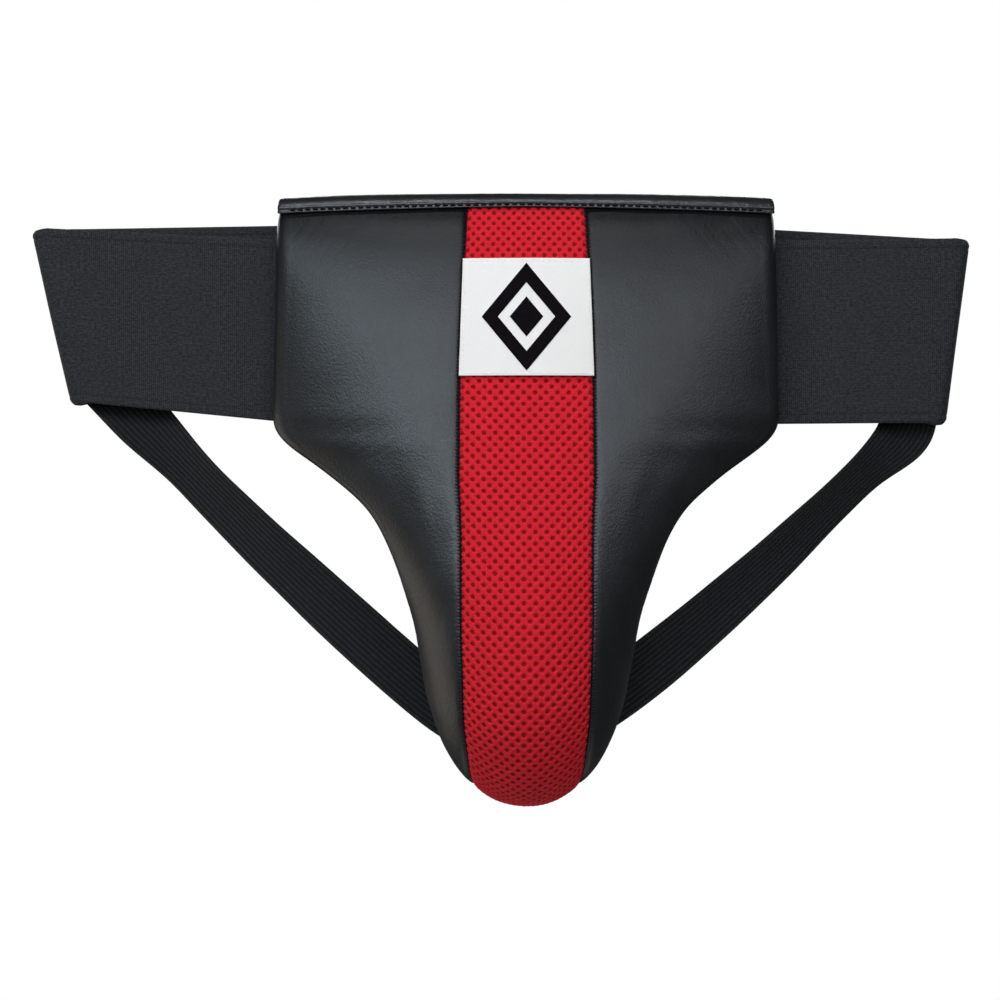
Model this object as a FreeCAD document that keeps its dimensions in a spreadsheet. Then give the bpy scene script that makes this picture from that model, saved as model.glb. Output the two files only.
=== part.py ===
"""Groin protector: a padded lower-abdomen guard with a hard cup, an elastic waistband and two leg straps.

Frame, in millimetres: the front of the guard faces -Y, +X is on the right of a viewer who stands in
front of it, and +Z is up.  The origin is on the guard's centre plane at the waistband's mid-height.
Left and right in the names are this viewer's left (-X) and right (+X).
"""
import FreeCAD, Part
import math
import os
import Sketcher

Vector = FreeCAD.Vector

DIMENSIONS = [
    ("layer_gap", 0.5, "clearance between neighbouring layers"),
    ("skin_thick", 1.3, "leather panels and back lining"),
    ("mesh_thick", 2.5, "air-mesh centre panel"),
    ("mesh_proud", 1.5, "rise of the centre panel above the leather"),
    ("leather_wrap", 8, "leather turned over the edge onto the back"),
    ("side_plane", 21, "upright plane that the guard's straight side edges touch at the back"),
    ("binding_thick", 1.3, "top binding strip"),
    ("binding_drop", 3, "depth of the binding's two legs below the guard's top"),
    ("cup_thick", 2.6, "moulded cup wall"),
    ("cup_vent_radius", 3.5, "vent holes in the cup"),
    ("rim_thick", 3.4, "soft cushion around the cup's rim"),
    ("rim_share", 0.3, "share of the cup's half-width that the rim cushion covers"),
    ("label_half_width", 34.6, "front label"),
    ("label_low", -29.3, "lower edge of the label"),
    ("label_high", 35, "upper edge of the label"),
    ("label_thick", 0.9, "front label"),
    ("seam_width", 1.8, "overlocked seam beside the centre panel"),
    ("seam_rise", 0.8, "height of the overlocked seam"),
    ("stitch_length", 2.6, "visible length of one stitch"),
    ("stitch_pitch", 4, "distance from one stitch to the next"),
    ("stitch_width", 0.7, "thread"),
    ("band_thick", 2, "waistband elastic"),
    ("band_front", 22, "front face of the waistband's front half"),
    ("band_inner", 121, "sewn end of each front half, hidden behind the guard"),
    ("fold_radius", 5, "middle of the elastic in the turn at each end of the flattened loop"),
    ("left_fold_top", -269, "hinge line of the left turn at fold_top_left height"),
    ("left_fold_tilt", 13, "lean of the left turn from upright, in degrees"),
    ("right_fold_top", 241, "hinge line of the right turn at fold_top_right height"),
    ("right_fold_tilt", 7.7, "lean of the right turn from upright, in degrees"),
    ("fold_top_left", 54.3, "upper end of the left turn"),
    ("fold_low_left", -42.4, "lower end of the left turn"),
    ("fold_top_right", 48.7, "upper end of the right turn"),
    ("fold_low_right", -53.5, "lower end of the right turn"),
    ("band_top_side", 47.2, "band's upper edge beside the guard"),
    ("band_low_side", -54.3, "band's lower edge beside the guard"),
    ("rear_top", 62, "upper edge of the rear half at the back"),
    ("rear_low", -40, "lower edge of the rear half at the back"),
    ("rear_bend", 150, "first bend of each rear half, from the centre plane"),
    ("rear_bow", 43, "inner face of each rear half at its first bend"),
    ("rear_straight", 70, "second bend of each rear half, where its flat end begins"),
    ("rear_flat_left", 49, "inner face of the left rear end, which lies inside"),
    ("rear_flat_right", 54, "inner face of the right rear end, which lies outside"),
    ("overlap_half", 40, "half of the length over which the two rear ends overlap"),
    ("tab_gap", 0.6, "slit between the closure tab and the right rear half"),
    ("patch_half", 34, "half-length of the hook and loop patches"),
    ("patch_margin", 9, "elastic left bare above and below the patches"),
    ("hook_thick", 1.2, "hook patch"),
    ("loop_thick", 1.4, "loop patch"),
    ("strap_width", 32, "leg strap elastic"),
    ("strap_thick", 1.7, "leg strap elastic"),
    ("anchor_width", 44, "patch that holds both leg straps to the guard's tail"),
    ("anchor_height", 30, "the same patch"),
    ("anchor_thick", 1.5, "the same patch"),
    ("anchor_middle", -232, "height of the same patch's middle"),
    ("anchor_front", 63.4, "front face of the same patch, just behind the straps"),
]

# Cross-sections of the guard from its top to the end of its tail.  Each is cut square to the front
# centre line: height and front place that line, tilt turns the section from level (degrees), half
# is half of the outside width, drop is how far the sides fall back, arch is the angle that half of
# the section turns through (degrees), and seam is half of the centre panel's width.  Where drop is
# zero the sides reach back to the side plane.
SECTION_COLUMNS = ("height", "front", "tilt", "half", "thick", "drop", "arch", "seam")
SECTIONS = [
    (65, -1, 0, 136.5, 12, 0, 40, 32.2),
    (59, -3.2, 0, 136.9, 12, 0, 40, 32.4),
    (45, -9.5, 0, 137.5, 16.5, 0, 40, 33),
    (20, -16.5, 0, 138, 18, 0, 40, 34),
    (-10, -23, 0, 138.4, 18, 0, 40, 35),
    (-35, -28, 0, 138.9, 18, 0, 40, 35.5),
    (-50, -31.5, 0, 139, 18, 0, 40, 35.5),
    (-58, -33.5, 0, 137.4, 17.5, 0, 40, 35.5),
    (-66, -35.3, 0, 130.6, 17, 35.5, 42, 35.5),
    (-75, -37.4, 0, 118.4, 16.5, 33, 45, 35.5),
    (-86, -40, 0, 103.4, 16, 28.5, 50, 35.5),
    (-100, -43.2, 0, 88, 16, 24.5, 55, 34.6),
    (-118, -47.3, 0, 76.6, 16, 24, 62, 33.8),
    (-140, -52, 1, 68.3, 16, 27.5, 70, 33.1),
    (-162, -55.3, 4, 62.3, 16, 33, 77, 32.4),
    (-184, -56.2, 9, 58.8, 15.5, 37.5, 82, 31.6),
    (-205, -54.5, 18, 56.5, 15, 39.5, 84, 31),
    (-225, -48.6, 32, 54.5, 15, 39.5, 84, 30),
    (-242, -37.8, 49, 52, 14.5, 37.5, 84, 28.4),
    (-254.5, -22.5, 67, 48.5, 14, 34, 84, 27.4),
    (-261.5, -4, 84, 44, 13.5, 29.5, 82, 25.6),
    (-263, 15, 99, 38.5, 13, 23.5, 78, 23),
    (-258, 33, 118, 33, 12, 16.5, 70, 20),
    (-247.5, 46.5, 139, 28.5, 11, 11, 62, 18),
    (-234, 53.5, 158, 26, 10, 7.5, 54, 16.5),
    (-220, 56.5, 170, 25, 9, 6, 50, 16),
]

# Middle line of each leg strap from the rear band to the guard's tail: x, y, z, and the turn of its
# width about that line (degrees), which is zero where the strap faces front.
LEFT_STRAP = [
    (-212.3, 40.7, -54.1, 10), (-190, 42.8, -77, 34), (-160.2, 44.8, -107.5, 30), (-126, 47, -140.5, 20),
    (-91, 50, -173, 8), (-56.5, 53.8, -203.5, 3), (-30, 57.4, -221.5, 0), (4, 59.8, -234, 0),
]
RIGHT_STRAP = [
    (212.9, 39.1, -55.2, -7), (205, 40.6, -67, -28), (189, 42.8, -81.5, -46), (167.5, 45, -102, -44),
    (140.4, 47.5, -128.5, -35), (109.4, 50, -156.3, -24), (78, 53.5, -183.5, -10), (47, 58.2, -207.5, 0),
    (19, 61.3, -224, 0), (-4, 61.8, -232, 0),
]
# The sewn end of each leg strap, flat on the outside of the rear band: x and z of its middle line.
LEFT_STRAP_END = [(-233.5, -31.7), (-223.2, -42.6), (-212.9, -53.5)]
RIGHT_STRAP_END = [(214.5, -29), (214, -41.8), (213, -54)]

os.makedirs("parts", exist_ok=True)
doc = FreeCAD.newDocument("GroinProtector")
sheet = doc.addObject("Spreadsheet::Sheet", "Dimensions")
for row, (alias, value, meaning) in enumerate(DIMENSIONS, 1):
    sheet.set("A%d" % row, str(value))
    sheet.setAlias("A%d" % row, alias)
    sheet.set("B%d" % row, meaning)
section_sheet = doc.addObject("Spreadsheet::Sheet", "GuardSections")
for column, name in enumerate(SECTION_COLUMNS):
    section_sheet.set("%s1" % "ABCDEFGH"[column], name)
    for row, section in enumerate(SECTIONS, 2):
        section_sheet.set("%s%d" % ("ABCDEFGH"[column], row), str(section[column]))
doc.recompute()

subparts = []


def size(alias):
    """A driving dimension from the sheet."""
    return getattr(sheet, alias)


def keep(shape_or_object, label):
    """Registers a finished sub-part; a bare shape becomes a Part::Feature of the document."""
    item = shape_or_object
    if isinstance(item, Part.Shape):
        item = doc.addObject("Part::Feature", label)
        item.Shape = shape_or_object
        item.Placement = FreeCAD.Placement()
    item.Label = label
    subparts.append(item)
    return item


# ---------------------------------------------------------------- shaped layers of the guard


def smooth_line(rows):
    """A curve through the rows, one unit of its parameter from each row to the next."""
    curve = Part.BSplineCurve()
    curve.interpolate(Points=[Vector(*row) for row in rows], Parameters=[float(i) for i in range(len(rows))])
    return curve


def smooth_step(value, low, high):
    share = min(1, max(0, (value - low) / (high - low)))
    return share * share * (3 - 2 * share)


def guard_rows():
    """The tabulated sections as three rows of numbers each, which smooth lines then pass through."""
    for row in range(2, len(SECTIONS) + 2):
        cells = [section_sheet.get("%s%d" % (letter, row)) for letter in "ABCDEFGH"]
        height, front, tilt, half, thick, drop, arch, seam = cells
        if drop == 0:
            drop = size("side_plane") - front - thick
        yield (front, height, tilt), (half - thick / 2, drop, arch), (thick, seam, row)


rows = list(guard_rows())
centre_line = smooth_line([row[0] for row in rows])
arch_line = smooth_line([row[1] for row in rows])
thickness_line = smooth_line([row[2] for row in rows])
TAIL_END = len(rows) - 1.0


class Section:
    """One cross-section; along counts the tabulated sections from 0 at the top."""

    def __init__(self, along):
        along = min(TAIL_END, max(0.0, along))
        self.front, self.height, tilt = centre_line.value(along)
        self.half, self.drop, arch = arch_line.value(along)
        self.thick, self.seam, _ = thickness_line.value(along)
        self.tilt = math.radians(tilt)
        self.arch = math.radians(arch)

    def across(self, x):
        """The place across the section, 0 at its middle and 1 at its rounded edge, that lies at x."""
        return math.asin(max(-1, min(1, x * math.sin(self.arch) / self.half))) / self.arch

    def middle(self, across):
        """Point of the middle layer and its tangent, both as (sideways, backward)."""
        angle = min(1, abs(across)) * self.arch
        fall = self.drop / (1 - math.cos(self.arch))
        x = self.half * math.sin(angle) / math.sin(self.arch)
        depth = self.thick / 2 + fall * (1 - math.cos(angle))
        run_x = self.half * math.cos(angle) / math.sin(self.arch)
        run_depth = fall * math.sin(angle)
        length = math.hypot(run_x, run_depth)
        return x, depth, run_x / length, run_depth / length

    def point(self, across, lift, turn=0.0):
        """A point lift from the middle layer: turn 0 is straight to the front, 180 straight to the back."""
        x, depth, tangent_x, tangent_depth = self.middle(across)
        forward = lift * math.cos(math.radians(turn))
        outward = lift * math.sin(math.radians(turn))
        x += forward * tangent_depth + outward * tangent_x
        depth += -forward * tangent_x + outward * tangent_depth
        side = -1 if across < 0 else 1
        return Vector(side * x, self.front + depth * math.cos(self.tilt),
                      self.height + depth * math.sin(self.tilt))


def along_at_height(height):
    """The section that lies at a height, on the guard's front where the height only falls."""
    low, high = 0.0, 15.0
    for _ in range(40):
        middle = (low + high) / 2
        if centre_line.value(middle)[1] > height:
            low = middle
        else:
            high = middle
    return low


def steps(start, end, count):
    return [start + (end - start) * i / (count - 1) for i in range(count)]


def even_knots(count):
    """Degree, knots and multiplicities of a clamped spline with this many control points."""
    degree = min(3, count - 1)
    spans = count - degree
    return degree, list(range(spans + 1)), [degree + 1] + [1] * (spans - 1) + [degree + 1]


def smooth_surface(grid):
    """A spline surface that the grid's rows and columns of control points pull into shape."""
    u_degree, u_knots, u_mults = even_knots(len(grid))
    v_degree, v_knots, v_mults = even_knots(len(grid[0]))
    surface = Part.BSplineSurface()
    surface.buildFromPolesMultsKnots(grid, u_mults, v_mults, u_knots, v_knots, False, False, u_degree, v_degree)
    return surface


def slab(outer_grid, inner_grid):
    """A solid between two smooth faces, closed by straight sides."""
    surfaces = [smooth_surface(outer_grid), smooth_surface(inner_grid)]
    borders = []
    for surface in surfaces:
        u_low, u_high, v_low, v_high = surface.bounds()
        curves = (surface.uIso(u_low), surface.uIso(u_high), surface.vIso(v_low), surface.vIso(v_high))
        borders.append([curve.toShape() for curve in curves])
    faces = [surface.toShape() for surface in surfaces]
    faces += [Part.makeRuledSurface(first, second, 1) for first, second in zip(*borders)]
    shell = Part.makeShell(faces)
    shell.sewShape(1e-4)
    solid = Part.makeSolid(shell)
    if solid.Volume < 0:
        solid.reverse()
    return solid


def guard_slab(alongs, path, outer, inner):
    """A slab of the guard: path(section, lift) gives a row of points for a lift function's value."""
    sections = [Section(along) for along in alongs]
    return slab([path(section, outer(section)) for section in sections],
                [path(section, inner(section)) for section in sections])


gap = size("layer_gap")
skin = size("skin_thick")
WHOLE = steps(0, TAIL_END, 51)


def wing_columns(section, margin):
    """Places across one wing, closer together toward its rounded edge."""
    start = section.across(section.seam + margin)
    return [start + (1 - start) * share for share in (0, 0.17, 0.34, 0.51, 0.67, 0.81, 0.92, 1)]


def make_wing(side, name):
    """One half of the padding: its leather, turned over the rounded edge, and the foam inside it."""

    def leather_path(section, lift):
        wrap = size("leather_wrap") / section.half
        points = [section.point(side * across, lift) for across in wing_columns(section, gap / 2)]
        points += [section.point(side, lift, turn) for turn in steps(0, 180, 9)[1:]]
        points += [section.point(side * (1 - wrap * share), lift, 180) for share in (0.3, 1)]
        return points

    leather = guard_slab(WHOLE, leather_path, lambda s: s.thick / 2, lambda s: s.thick / 2 - skin)
    keep(leather, "%s_leather_panel" % name)

    foam_rows = [Section(along) for along in WHOLE]
    front, back = [], []
    for section in foam_rows:
        lift = section.thick / 2 - skin - gap
        columns = wing_columns(section, gap)
        round_front, round_back = (22.5, 45, 67.5, 85), (157.5, 135, 112.5, 95)
        front.append([section.point(side * across, lift) for across in columns]
                     + [section.point(side, lift, turn) for turn in round_front])
        back.append([section.point(side * across, lift, 180) for across in columns]
                    + [section.point(side, lift, turn) for turn in round_back])
    keep(slab(front, back), "%s_foam_wing" % name)


def rise(section):
    """How far the centre panel stands above the leather; it lies flat under the top binding."""
    return size("mesh_proud") * smooth_step(-section.height, -58, -44)


def centre_path(margin, count=9):
    """Rows of points across the centre panel, raised toward its middle."""

    def path(section, lift):
        edge = section.across(section.seam - margin)
        points = []
        for across in steps(-edge, edge, count):
            crown = rise(section) * math.cos(math.pi / 2 * across / edge) if lift > 0 else 0
            points.append(section.point(across, lift + crown))
        return points

    return path


def make_centre():
    keep(guard_slab(WHOLE, centre_path(gap / 2), lambda s: s.thick / 2,
                    lambda s: s.thick / 2 - size("mesh_thick")), "centre_mesh_panel")
    keep(guard_slab(WHOLE, centre_path(gap), lambda s: s.thick / 2 - size("mesh_thick") - gap,
                    lambda s: gap + skin - s.thick / 2), "centre_foam_pad")


CUP_TOP = along_at_height(-106)
CUP_LOW = 19.2


def pocket(section_along, across):
    """How far the lining stands off the foam to make room for the cup and its rim cushion."""
    room = size("cup_thick") + size("rim_thick") + 2 * gap
    down = smooth_step(section_along, CUP_TOP - 1.6, CUP_TOP - 0.2)
    up = 1 - smooth_step(section_along, CUP_LOW + 0.1, CUP_LOW + 1.6)
    return room * down * up * (1 - smooth_step(abs(across), 0.7, 0.9))


def make_lining():
    outer, inner = [], []
    for along in steps(0, TAIL_END, 61):
        section = Section(along)
        edge = 1 - (size("leather_wrap") + 2 * gap) / section.half
        lift = section.thick / 2
        columns = steps(-edge, edge, 27)
        inner.append([section.point(across, lift - skin + pocket(along, across), 180) for across in columns])
        outer.append([section.point(across, lift + pocket(along, across), 180) for across in columns])
    keep(slab(outer, inner), "back_lining")


def cup_half_span(share):
    """Half-width of the cup, as a place across the section, from its top (-1) to its bottom (1)."""
    return 0.68 * (1 - abs(share) ** 3) ** (1 / 3)


def cup_along(share):
    return CUP_TOP + (CUP_LOW - CUP_TOP) * (1 + share) / 2


def make_cup():
    """The moulded cup with its vent holes, and the soft cushion around its rim."""
    base = skin

    def cup_grid(extra):
        grid = []
        for share in steps(-0.97, 0.97, 21):
            section = Section(cup_along(share))
            span = cup_half_span(share)
            grid.append([section.point(across, section.thick / 2 - base + extra, 180)
                         for across in steps(-span, span, 11)])
        return grid

    thick = size("cup_thick")
    shell = slab(cup_grid(thick), cup_grid(0))
    for share, across in ((-0.35, 0), (0.0, -0.22), (0.0, 0.22), (0.35, 0), (-0.35, -0.4), (-0.35, 0.4),
                          (0.35, -0.4), (0.35, 0.4)):
        section = Section(cup_along(share))
        start = section.point(across, section.thick / 2 - base - 3, 180)
        end = section.point(across, section.thick / 2 - base + thick + 3, 180)
        shell = shell.cut(Part.makeCylinder(size("cup_vent_radius"), (end - start).Length, start, end - start))
    keep(shell, "cup_shell")

    halves = []
    for side in (-1, 1):
        grids = []
        for extra in (thick + gap + size("rim_thick"), thick + gap):
            grid = []
            for turn in steps(-90, 90, 19):
                row = []
                for share_in in steps(1, 1 - size("rim_share"), 4):
                    share = 0.93 * share_in * math.sin(math.radians(turn))
                    round_out = 0.62 * share_in * max(0, math.cos(math.radians(turn))) ** 0.7
                    section = Section(cup_along(share))
                    row.append(section.point(side * round_out, section.thick / 2 - base + extra, 180))
                grid.append(row)
            grids.append(grid)
        halves.append(slab(*grids))
    rim = halves[0].fuse(halves[1])
    keep(rim, "cup_rim_cushion")


def make_binding():
    """The strip rolled over the guard's top edge."""
    inner_lift = 1.5 * gap
    outer_lift = inner_lift + size("binding_thick")
    top = Section(0)
    low = Section(along_at_height(top.height - size("binding_drop")))
    half_way = Section(along_at_height(top.height - size("binding_drop") / 2))

    def grid(extra):
        rows_across = []
        for across in steps(-1, 1, 23):
            front = [section.point(across, section.thick / 2 + extra) for section in (low, half_way)]
            back = [section.point(across, section.thick / 2 + extra, 180) for section in (half_way, low)]
            middle = (top.point(across, 1) + top.point(across, -1)) * 0.5
            outward = (top.point(across, 1) - middle).normalize()
            over = []
            for turn in (0, 30, 60, 90, 120, 150, 180):
                reach = top.thick / 2 + extra
                over.append(middle + outward * (reach * math.cos(math.radians(turn)))
                            + Vector(0, 0, reach * math.sin(math.radians(turn))))
            rows_across.append(front + over + back)
        return rows_across

    keep(slab(grid(outer_lift), grid(inner_lift)), "top_binding")


def make_label():
    rows_down = steps(along_at_height(size("label_high")), along_at_height(size("label_low")), 9)
    half = size("label_half_width")

    def path(section, lift):
        edge = section.across(section.seam)
        points = []
        for x in steps(-half, half, 11):
            across = section.across(x)
            crown = rise(section) * math.cos(math.pi / 2 * min(1, abs(across) / edge))
            points.append(section.point(across, lift + crown))
        return points

    seam_room = size("seam_rise") + 2 * gap
    keep(guard_slab(rows_down, path, lambda s: s.thick / 2 + seam_room + size("label_thick"),
                    lambda s: s.thick / 2 + seam_room), "label_patch")


def make_seam(side, name):
    """The overlocked seam that covers the joint between the leather and the centre panel."""
    half = size("seam_width") / 2

    def path(section, lift):
        return [section.point(side * section.across(section.seam + shift), lift)
                for shift in (-half, 0, half)]

    start = along_at_height(Section(0).height - size("binding_drop") - 2 * gap)
    keep(guard_slab(steps(start, TAIL_END, 50), path, lambda s: s.thick / 2 + gap + size("seam_rise"),
                    lambda s: s.thick / 2 + gap), "%s_panel_seam" % name)


# ---------------------------------------------------------------- stitching


def stitch_block(start, end, up):
    """One stitch: a short bar of thread from start to end, its width square to up."""
    along = (end - start).normalize()
    across = up.cross(along).normalize() * (size("stitch_width") / 2)
    rise_up = up.normalize() * size("stitch_width")
    corners = [start - across, start + across, end + across, end - across, start - across]
    return Part.Face(Part.makePolygon(corners)).extrude(rise_up)


def stitch_row(points, up):
    """Stitches at an even pitch along a line of points."""
    line = Part.BSplineCurve()
    line.interpolate(Points=points)
    count = int(line.length() / size("stitch_pitch"))
    places = line.discretize(Number=count * 2)
    blocks = []
    for start, end in zip(places[0::2], places[1::2]):
        centre = (start + end) * 0.5
        reach = (end - start).normalize() * (size("stitch_length") / 2)
        blocks.append(stitch_block(centre - reach, centre + reach, up))
    return blocks


def make_binding_stitches():
    height = Section(0).height - size("binding_drop") / 2
    section = Section(along_at_height(height))
    lift = section.thick / 2 + 2 * gap + size("binding_thick")
    points = [section.point(across, lift) for across in steps(-0.97, 0.97, 25)]
    keep(Part.makeCompound(stitch_row(points, Vector(0, -1, 0))), "binding_stitching")


def make_label_stitches():
    """One line of stitches just inside each edge of the label."""
    inset = 2.5
    high = size("label_high") - inset
    low = size("label_low") + inset
    half = size("label_half_width") - inset
    surface_lift = size("seam_rise") + 2 * gap + size("label_thick") + gap

    def at(x, height):
        section = Section(along_at_height(height))
        across = section.across(x)
        crown = rise(section) * math.cos(math.pi / 2 * min(1, abs(across) / section.across(section.seam)))
        return section.point(across, section.thick / 2 + surface_lift + crown)

    blocks = []
    for height in (high, low):
        blocks += stitch_row([at(x, height) for x in steps(3 - half, half - 3, 9)], Vector(0, -1, 0))
    for side in (-1, 1):
        blocks += stitch_row([at(side * half, height) for height in steps(low, high, 9)], Vector(0, -1, 0))
    keep(Part.makeCompound(blocks), "label_stitching")


# ---------------------------------------------------------------- waistband, cut and sewn pieces


def dimension(expression):
    """Names in an expression refer to the dimension sheet."""
    for alias in sorted((entry[0] for entry in DIMENSIONS), key=len, reverse=True):
        expression = expression.replace(alias, "<%d>" % [e[0] for e in DIMENSIONS].index(alias))
    for index, entry in enumerate(DIMENSIONS):
        expression = expression.replace("<%d>" % index, "Dimensions." + entry[0])
    return expression


def add_polygon(sketch, corners):
    """A closed outline whose corners are bound to expressions."""
    first = sketch.GeometryCount
    count = len(corners)
    start = [Vector(10 * math.cos(2 * math.pi * i / count), 10 * math.sin(2 * math.pi * i / count), 0)
             for i in range(count)]
    for i in range(count):
        sketch.addGeometry(Part.LineSegment(start[i], start[(i + 1) % count]), False)
    for i in range(count):
        sketch.addConstraint(Sketcher.Constraint("Coincident", first + i, 2, first + (i + 1) % count, 1))
    for i, corner in enumerate(corners):
        for kind, value, expression in (("DistanceX", start[i].x, corner[0]), ("DistanceY", start[i].y, corner[1])):
            index = sketch.addConstraint(Sketcher.Constraint(kind, -1, 1, first + i, 1, value))
            sketch.setExpression("Constraints[%d]" % index, dimension(expression))


def new_body(label):
    body = doc.addObject("PartDesign::Body", label)
    return keep(body, label)


def new_sketch(body, role, name):
    sketch = body.newObject("Sketcher::SketchObject", name)
    plane = [feature for feature in body.Origin.OriginFeatures if feature.Role == role][0]
    sketch.AttachmentSupport = [(plane, "")]
    sketch.MapMode = "FlatFace"
    return sketch


def pad(body, sketch, length, reverse=False, midplane=False):
    feature = body.newObject("PartDesign::Pad", body.Label + "_pad")
    feature.Profile = sketch
    feature.setExpression("Length", dimension(length))
    feature.Reversed = reverse
    feature.Midplane = midplane
    return feature


def plate(label, corners, thick, front):
    """A flat piece that faces front: its outline in X and Z, from its front face backward."""
    body = new_body(label)
    sketch = new_sketch(body, "XZ_Plane", label + "_outline")
    add_polygon(sketch, corners)
    pad(body, sketch, thick, reverse=True)
    body.setExpression("Placement.Base.y", dimension(front))
    return body


def make_front_halves():
    for side, name in ((-1, "left"), (1, "right")):
        sign = "-" if side < 0 else ""
        top = ("%s_fold_top" % name, "fold_top_%s" % name)
        lean = "tan(%s_fold_tilt) * (fold_top_%s - fold_low_%s)" % (name, name, name)
        low = ("%s_fold_top %s %s" % (name, "+" if side < 0 else "-", lean), "fold_low_%s" % name)
        corners = [(sign + "band_inner", "band_top_side"), top, low, (sign + "band_inner", "band_low_side")]
        plate("waist_front_%s" % name, corners, "band_thick", "band_front")


def fold_frame(name, side):
    """Top of a turn's hinge line and the direction down that line."""
    tilt = math.radians(size("%s_fold_tilt" % name))
    top = Vector(size("%s_fold_top" % name), size("band_front") + size("band_thick") / 2 + size("fold_radius"),
                 size("fold_top_%s" % name))
    down = Vector(-side * math.sin(tilt), 0, -math.cos(tilt))
    return top, down


def make_folds():
    """The half-round turn of elastic at each end of the flattened loop."""
    for side, name in ((-1, "left"), (1, "right")):
        body = new_body("waist_fold_%s" % name)
        sketch = new_sketch(body, "XY_Plane", body.Label + "_outline")
        outer = size("fold_radius") + size("band_thick") / 2
        inner = size("fold_radius") - size("band_thick") / 2
        for radius in (outer, inner):
            circle = Part.Circle(Vector(0, 0, 0), Vector(0, 0, 1), radius)
            sketch.addGeometry(Part.ArcOfCircle(circle, math.radians(-90), math.radians(90)), False)
        for low_end, high_end, y in ((1, 1, -1), (2, 2, 1)):
            sketch.addGeometry(Part.LineSegment(Vector(0, y * outer, 0), Vector(0, y * inner, 0)), False)
            line = sketch.GeometryCount - 1
            sketch.addConstraint(Sketcher.Constraint("Coincident", 0, low_end, line, 1))
            sketch.addConstraint(Sketcher.Constraint("Coincident", 1, high_end, line, 2))
        for arc, sign in ((0, "+"), (1, "-")):
            sketch.addConstraint(Sketcher.Constraint("Coincident", arc, 3, -1, 1))
            index = sketch.addConstraint(Sketcher.Constraint("Radius", arc, outer if arc == 0 else inner))
            sketch.setExpression("Constraints[%d]" % index, dimension("fold_radius %s band_thick / 2" % sign))
            sketch.addConstraint(Sketcher.Constraint("PointOnObject", arc, 1, -2))
            sketch.addConstraint(Sketcher.Constraint("PointOnObject", arc, 2, -2))
        pad(body, sketch, "(fold_top_%s - fold_low_%s) / cos(%s_fold_tilt)" % (name, name, name), reverse=True)
        top, down = fold_frame(name, side)
        spin = FreeCAD.Rotation(Vector(0, 0, 1), 180 if side < 0 else 0)
        lean = FreeCAD.Rotation(Vector(0, 0, -1), down)
        body.Placement = FreeCAD.Placement(top, lean.multiply(spin))


def rear_strip(label, side, name, end_x, inner_face):
    """A rear half of the band: bent in plan, then trimmed to its outline as seen from the front."""
    body = new_body(label)
    fold = "%s_fold_top" % name
    start = "band_front + 2 * fold_radius"
    sign = "-" if side < 0 else ""
    plan = [(fold + (" - 30" if side < 0 else " + 30"), start), (fold, start),
            (sign + "rear_bend", "rear_bow"), (sign + "rear_straight", inner_face), (end_x, inner_face)]
    back = [(x, y + " + band_thick") for x, y in reversed(plan)]
    sketch = new_sketch(body, "XY_Plane", label + "_plan")
    add_polygon(sketch, plan + back)
    pad(body, sketch, "4 * rear_top", midplane=True)
    lean = "tan(%s_fold_tilt) * (fold_top_%s - fold_low_%s)" % (name, name, name)
    low_x = "%s_fold_top %s %s" % (name, "+" if side < 0 else "-", lean)
    edge = "band_thick / 4"
    inward = "+" if side < 0 else "-"
    outline = [("%s %s %s" % (fold, inward, edge), "fold_top_%s" % name), (end_x, "rear_top"),
               (end_x, "rear_low"), ("%s %s %s" % (low_x, inward, edge), "fold_low_%s" % name)]
    trim = new_sketch(body, "XZ_Plane", label + "_trim")
    add_polygon(trim, [("-400", "-400"), ("400", "-400"), ("400", "400"), ("-400", "400")])
    add_polygon(trim, outline)
    pocket_feature = body.newObject("PartDesign::Pocket", label + "_trimmed")
    pocket_feature.Profile = trim
    pocket_feature.Type = "ThroughAll"
    pocket_feature.Midplane = True
    return body


def make_rear_halves():
    rear_strip("waist_rear_left", -1, "left", "overlap_half", "rear_flat_left")
    rear_strip("waist_rear_right", 1, "right", "overlap_half + tab_gap", "rear_flat_right")
    high, low = "rear_top", "rear_low"
    tab = [("overlap_half", high), ("-overlap_half + 6", high), ("-overlap_half", high + " - 6"),
           ("-overlap_half", low + " + 6"), ("-overlap_half + 6", low), ("overlap_half", low)]
    plate("closure_tab", tab, "band_thick", "rear_flat_right")
    patch = [("-patch_half", high + " - patch_margin"), ("patch_half", high + " - patch_margin"),
             ("patch_half", low + " + patch_margin"), ("-patch_half", low + " + patch_margin")]
    plate("hook_patch", patch, "hook_thick", "rear_flat_right - hook_thick")
    plate("loop_patch", patch, "loop_thick", "rear_flat_left + band_thick")


# ---------------------------------------------------------------- leg straps


def strap_slab(stations, width, thick, facing):
    """A flat strap along a smooth line, turned from its facing about that line as its stations say."""
    line = smooth_line([station[:3] for station in stations])
    turns = smooth_line([(station[3], 0, i) for i, station in enumerate(stations)])
    front, back = [], []
    for place in steps(0, len(stations) - 1, 4 * len(stations) - 3):
        centre = line.value(place)
        along = line.tangent(place)[0]
        across = along.cross(facing).normalize()
        across = FreeCAD.Rotation(along, turns.value(place)[0]).multVec(across)
        face = across.cross(along).normalize()
        row = [centre + across * (width * share) for share in (-0.5, -0.17, 0.17, 0.5)]
        front.append([point + face * (thick / 2) for point in row])
        back.append([point - face * (thick / 2) for point in row])
    return slab(front, back)


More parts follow.
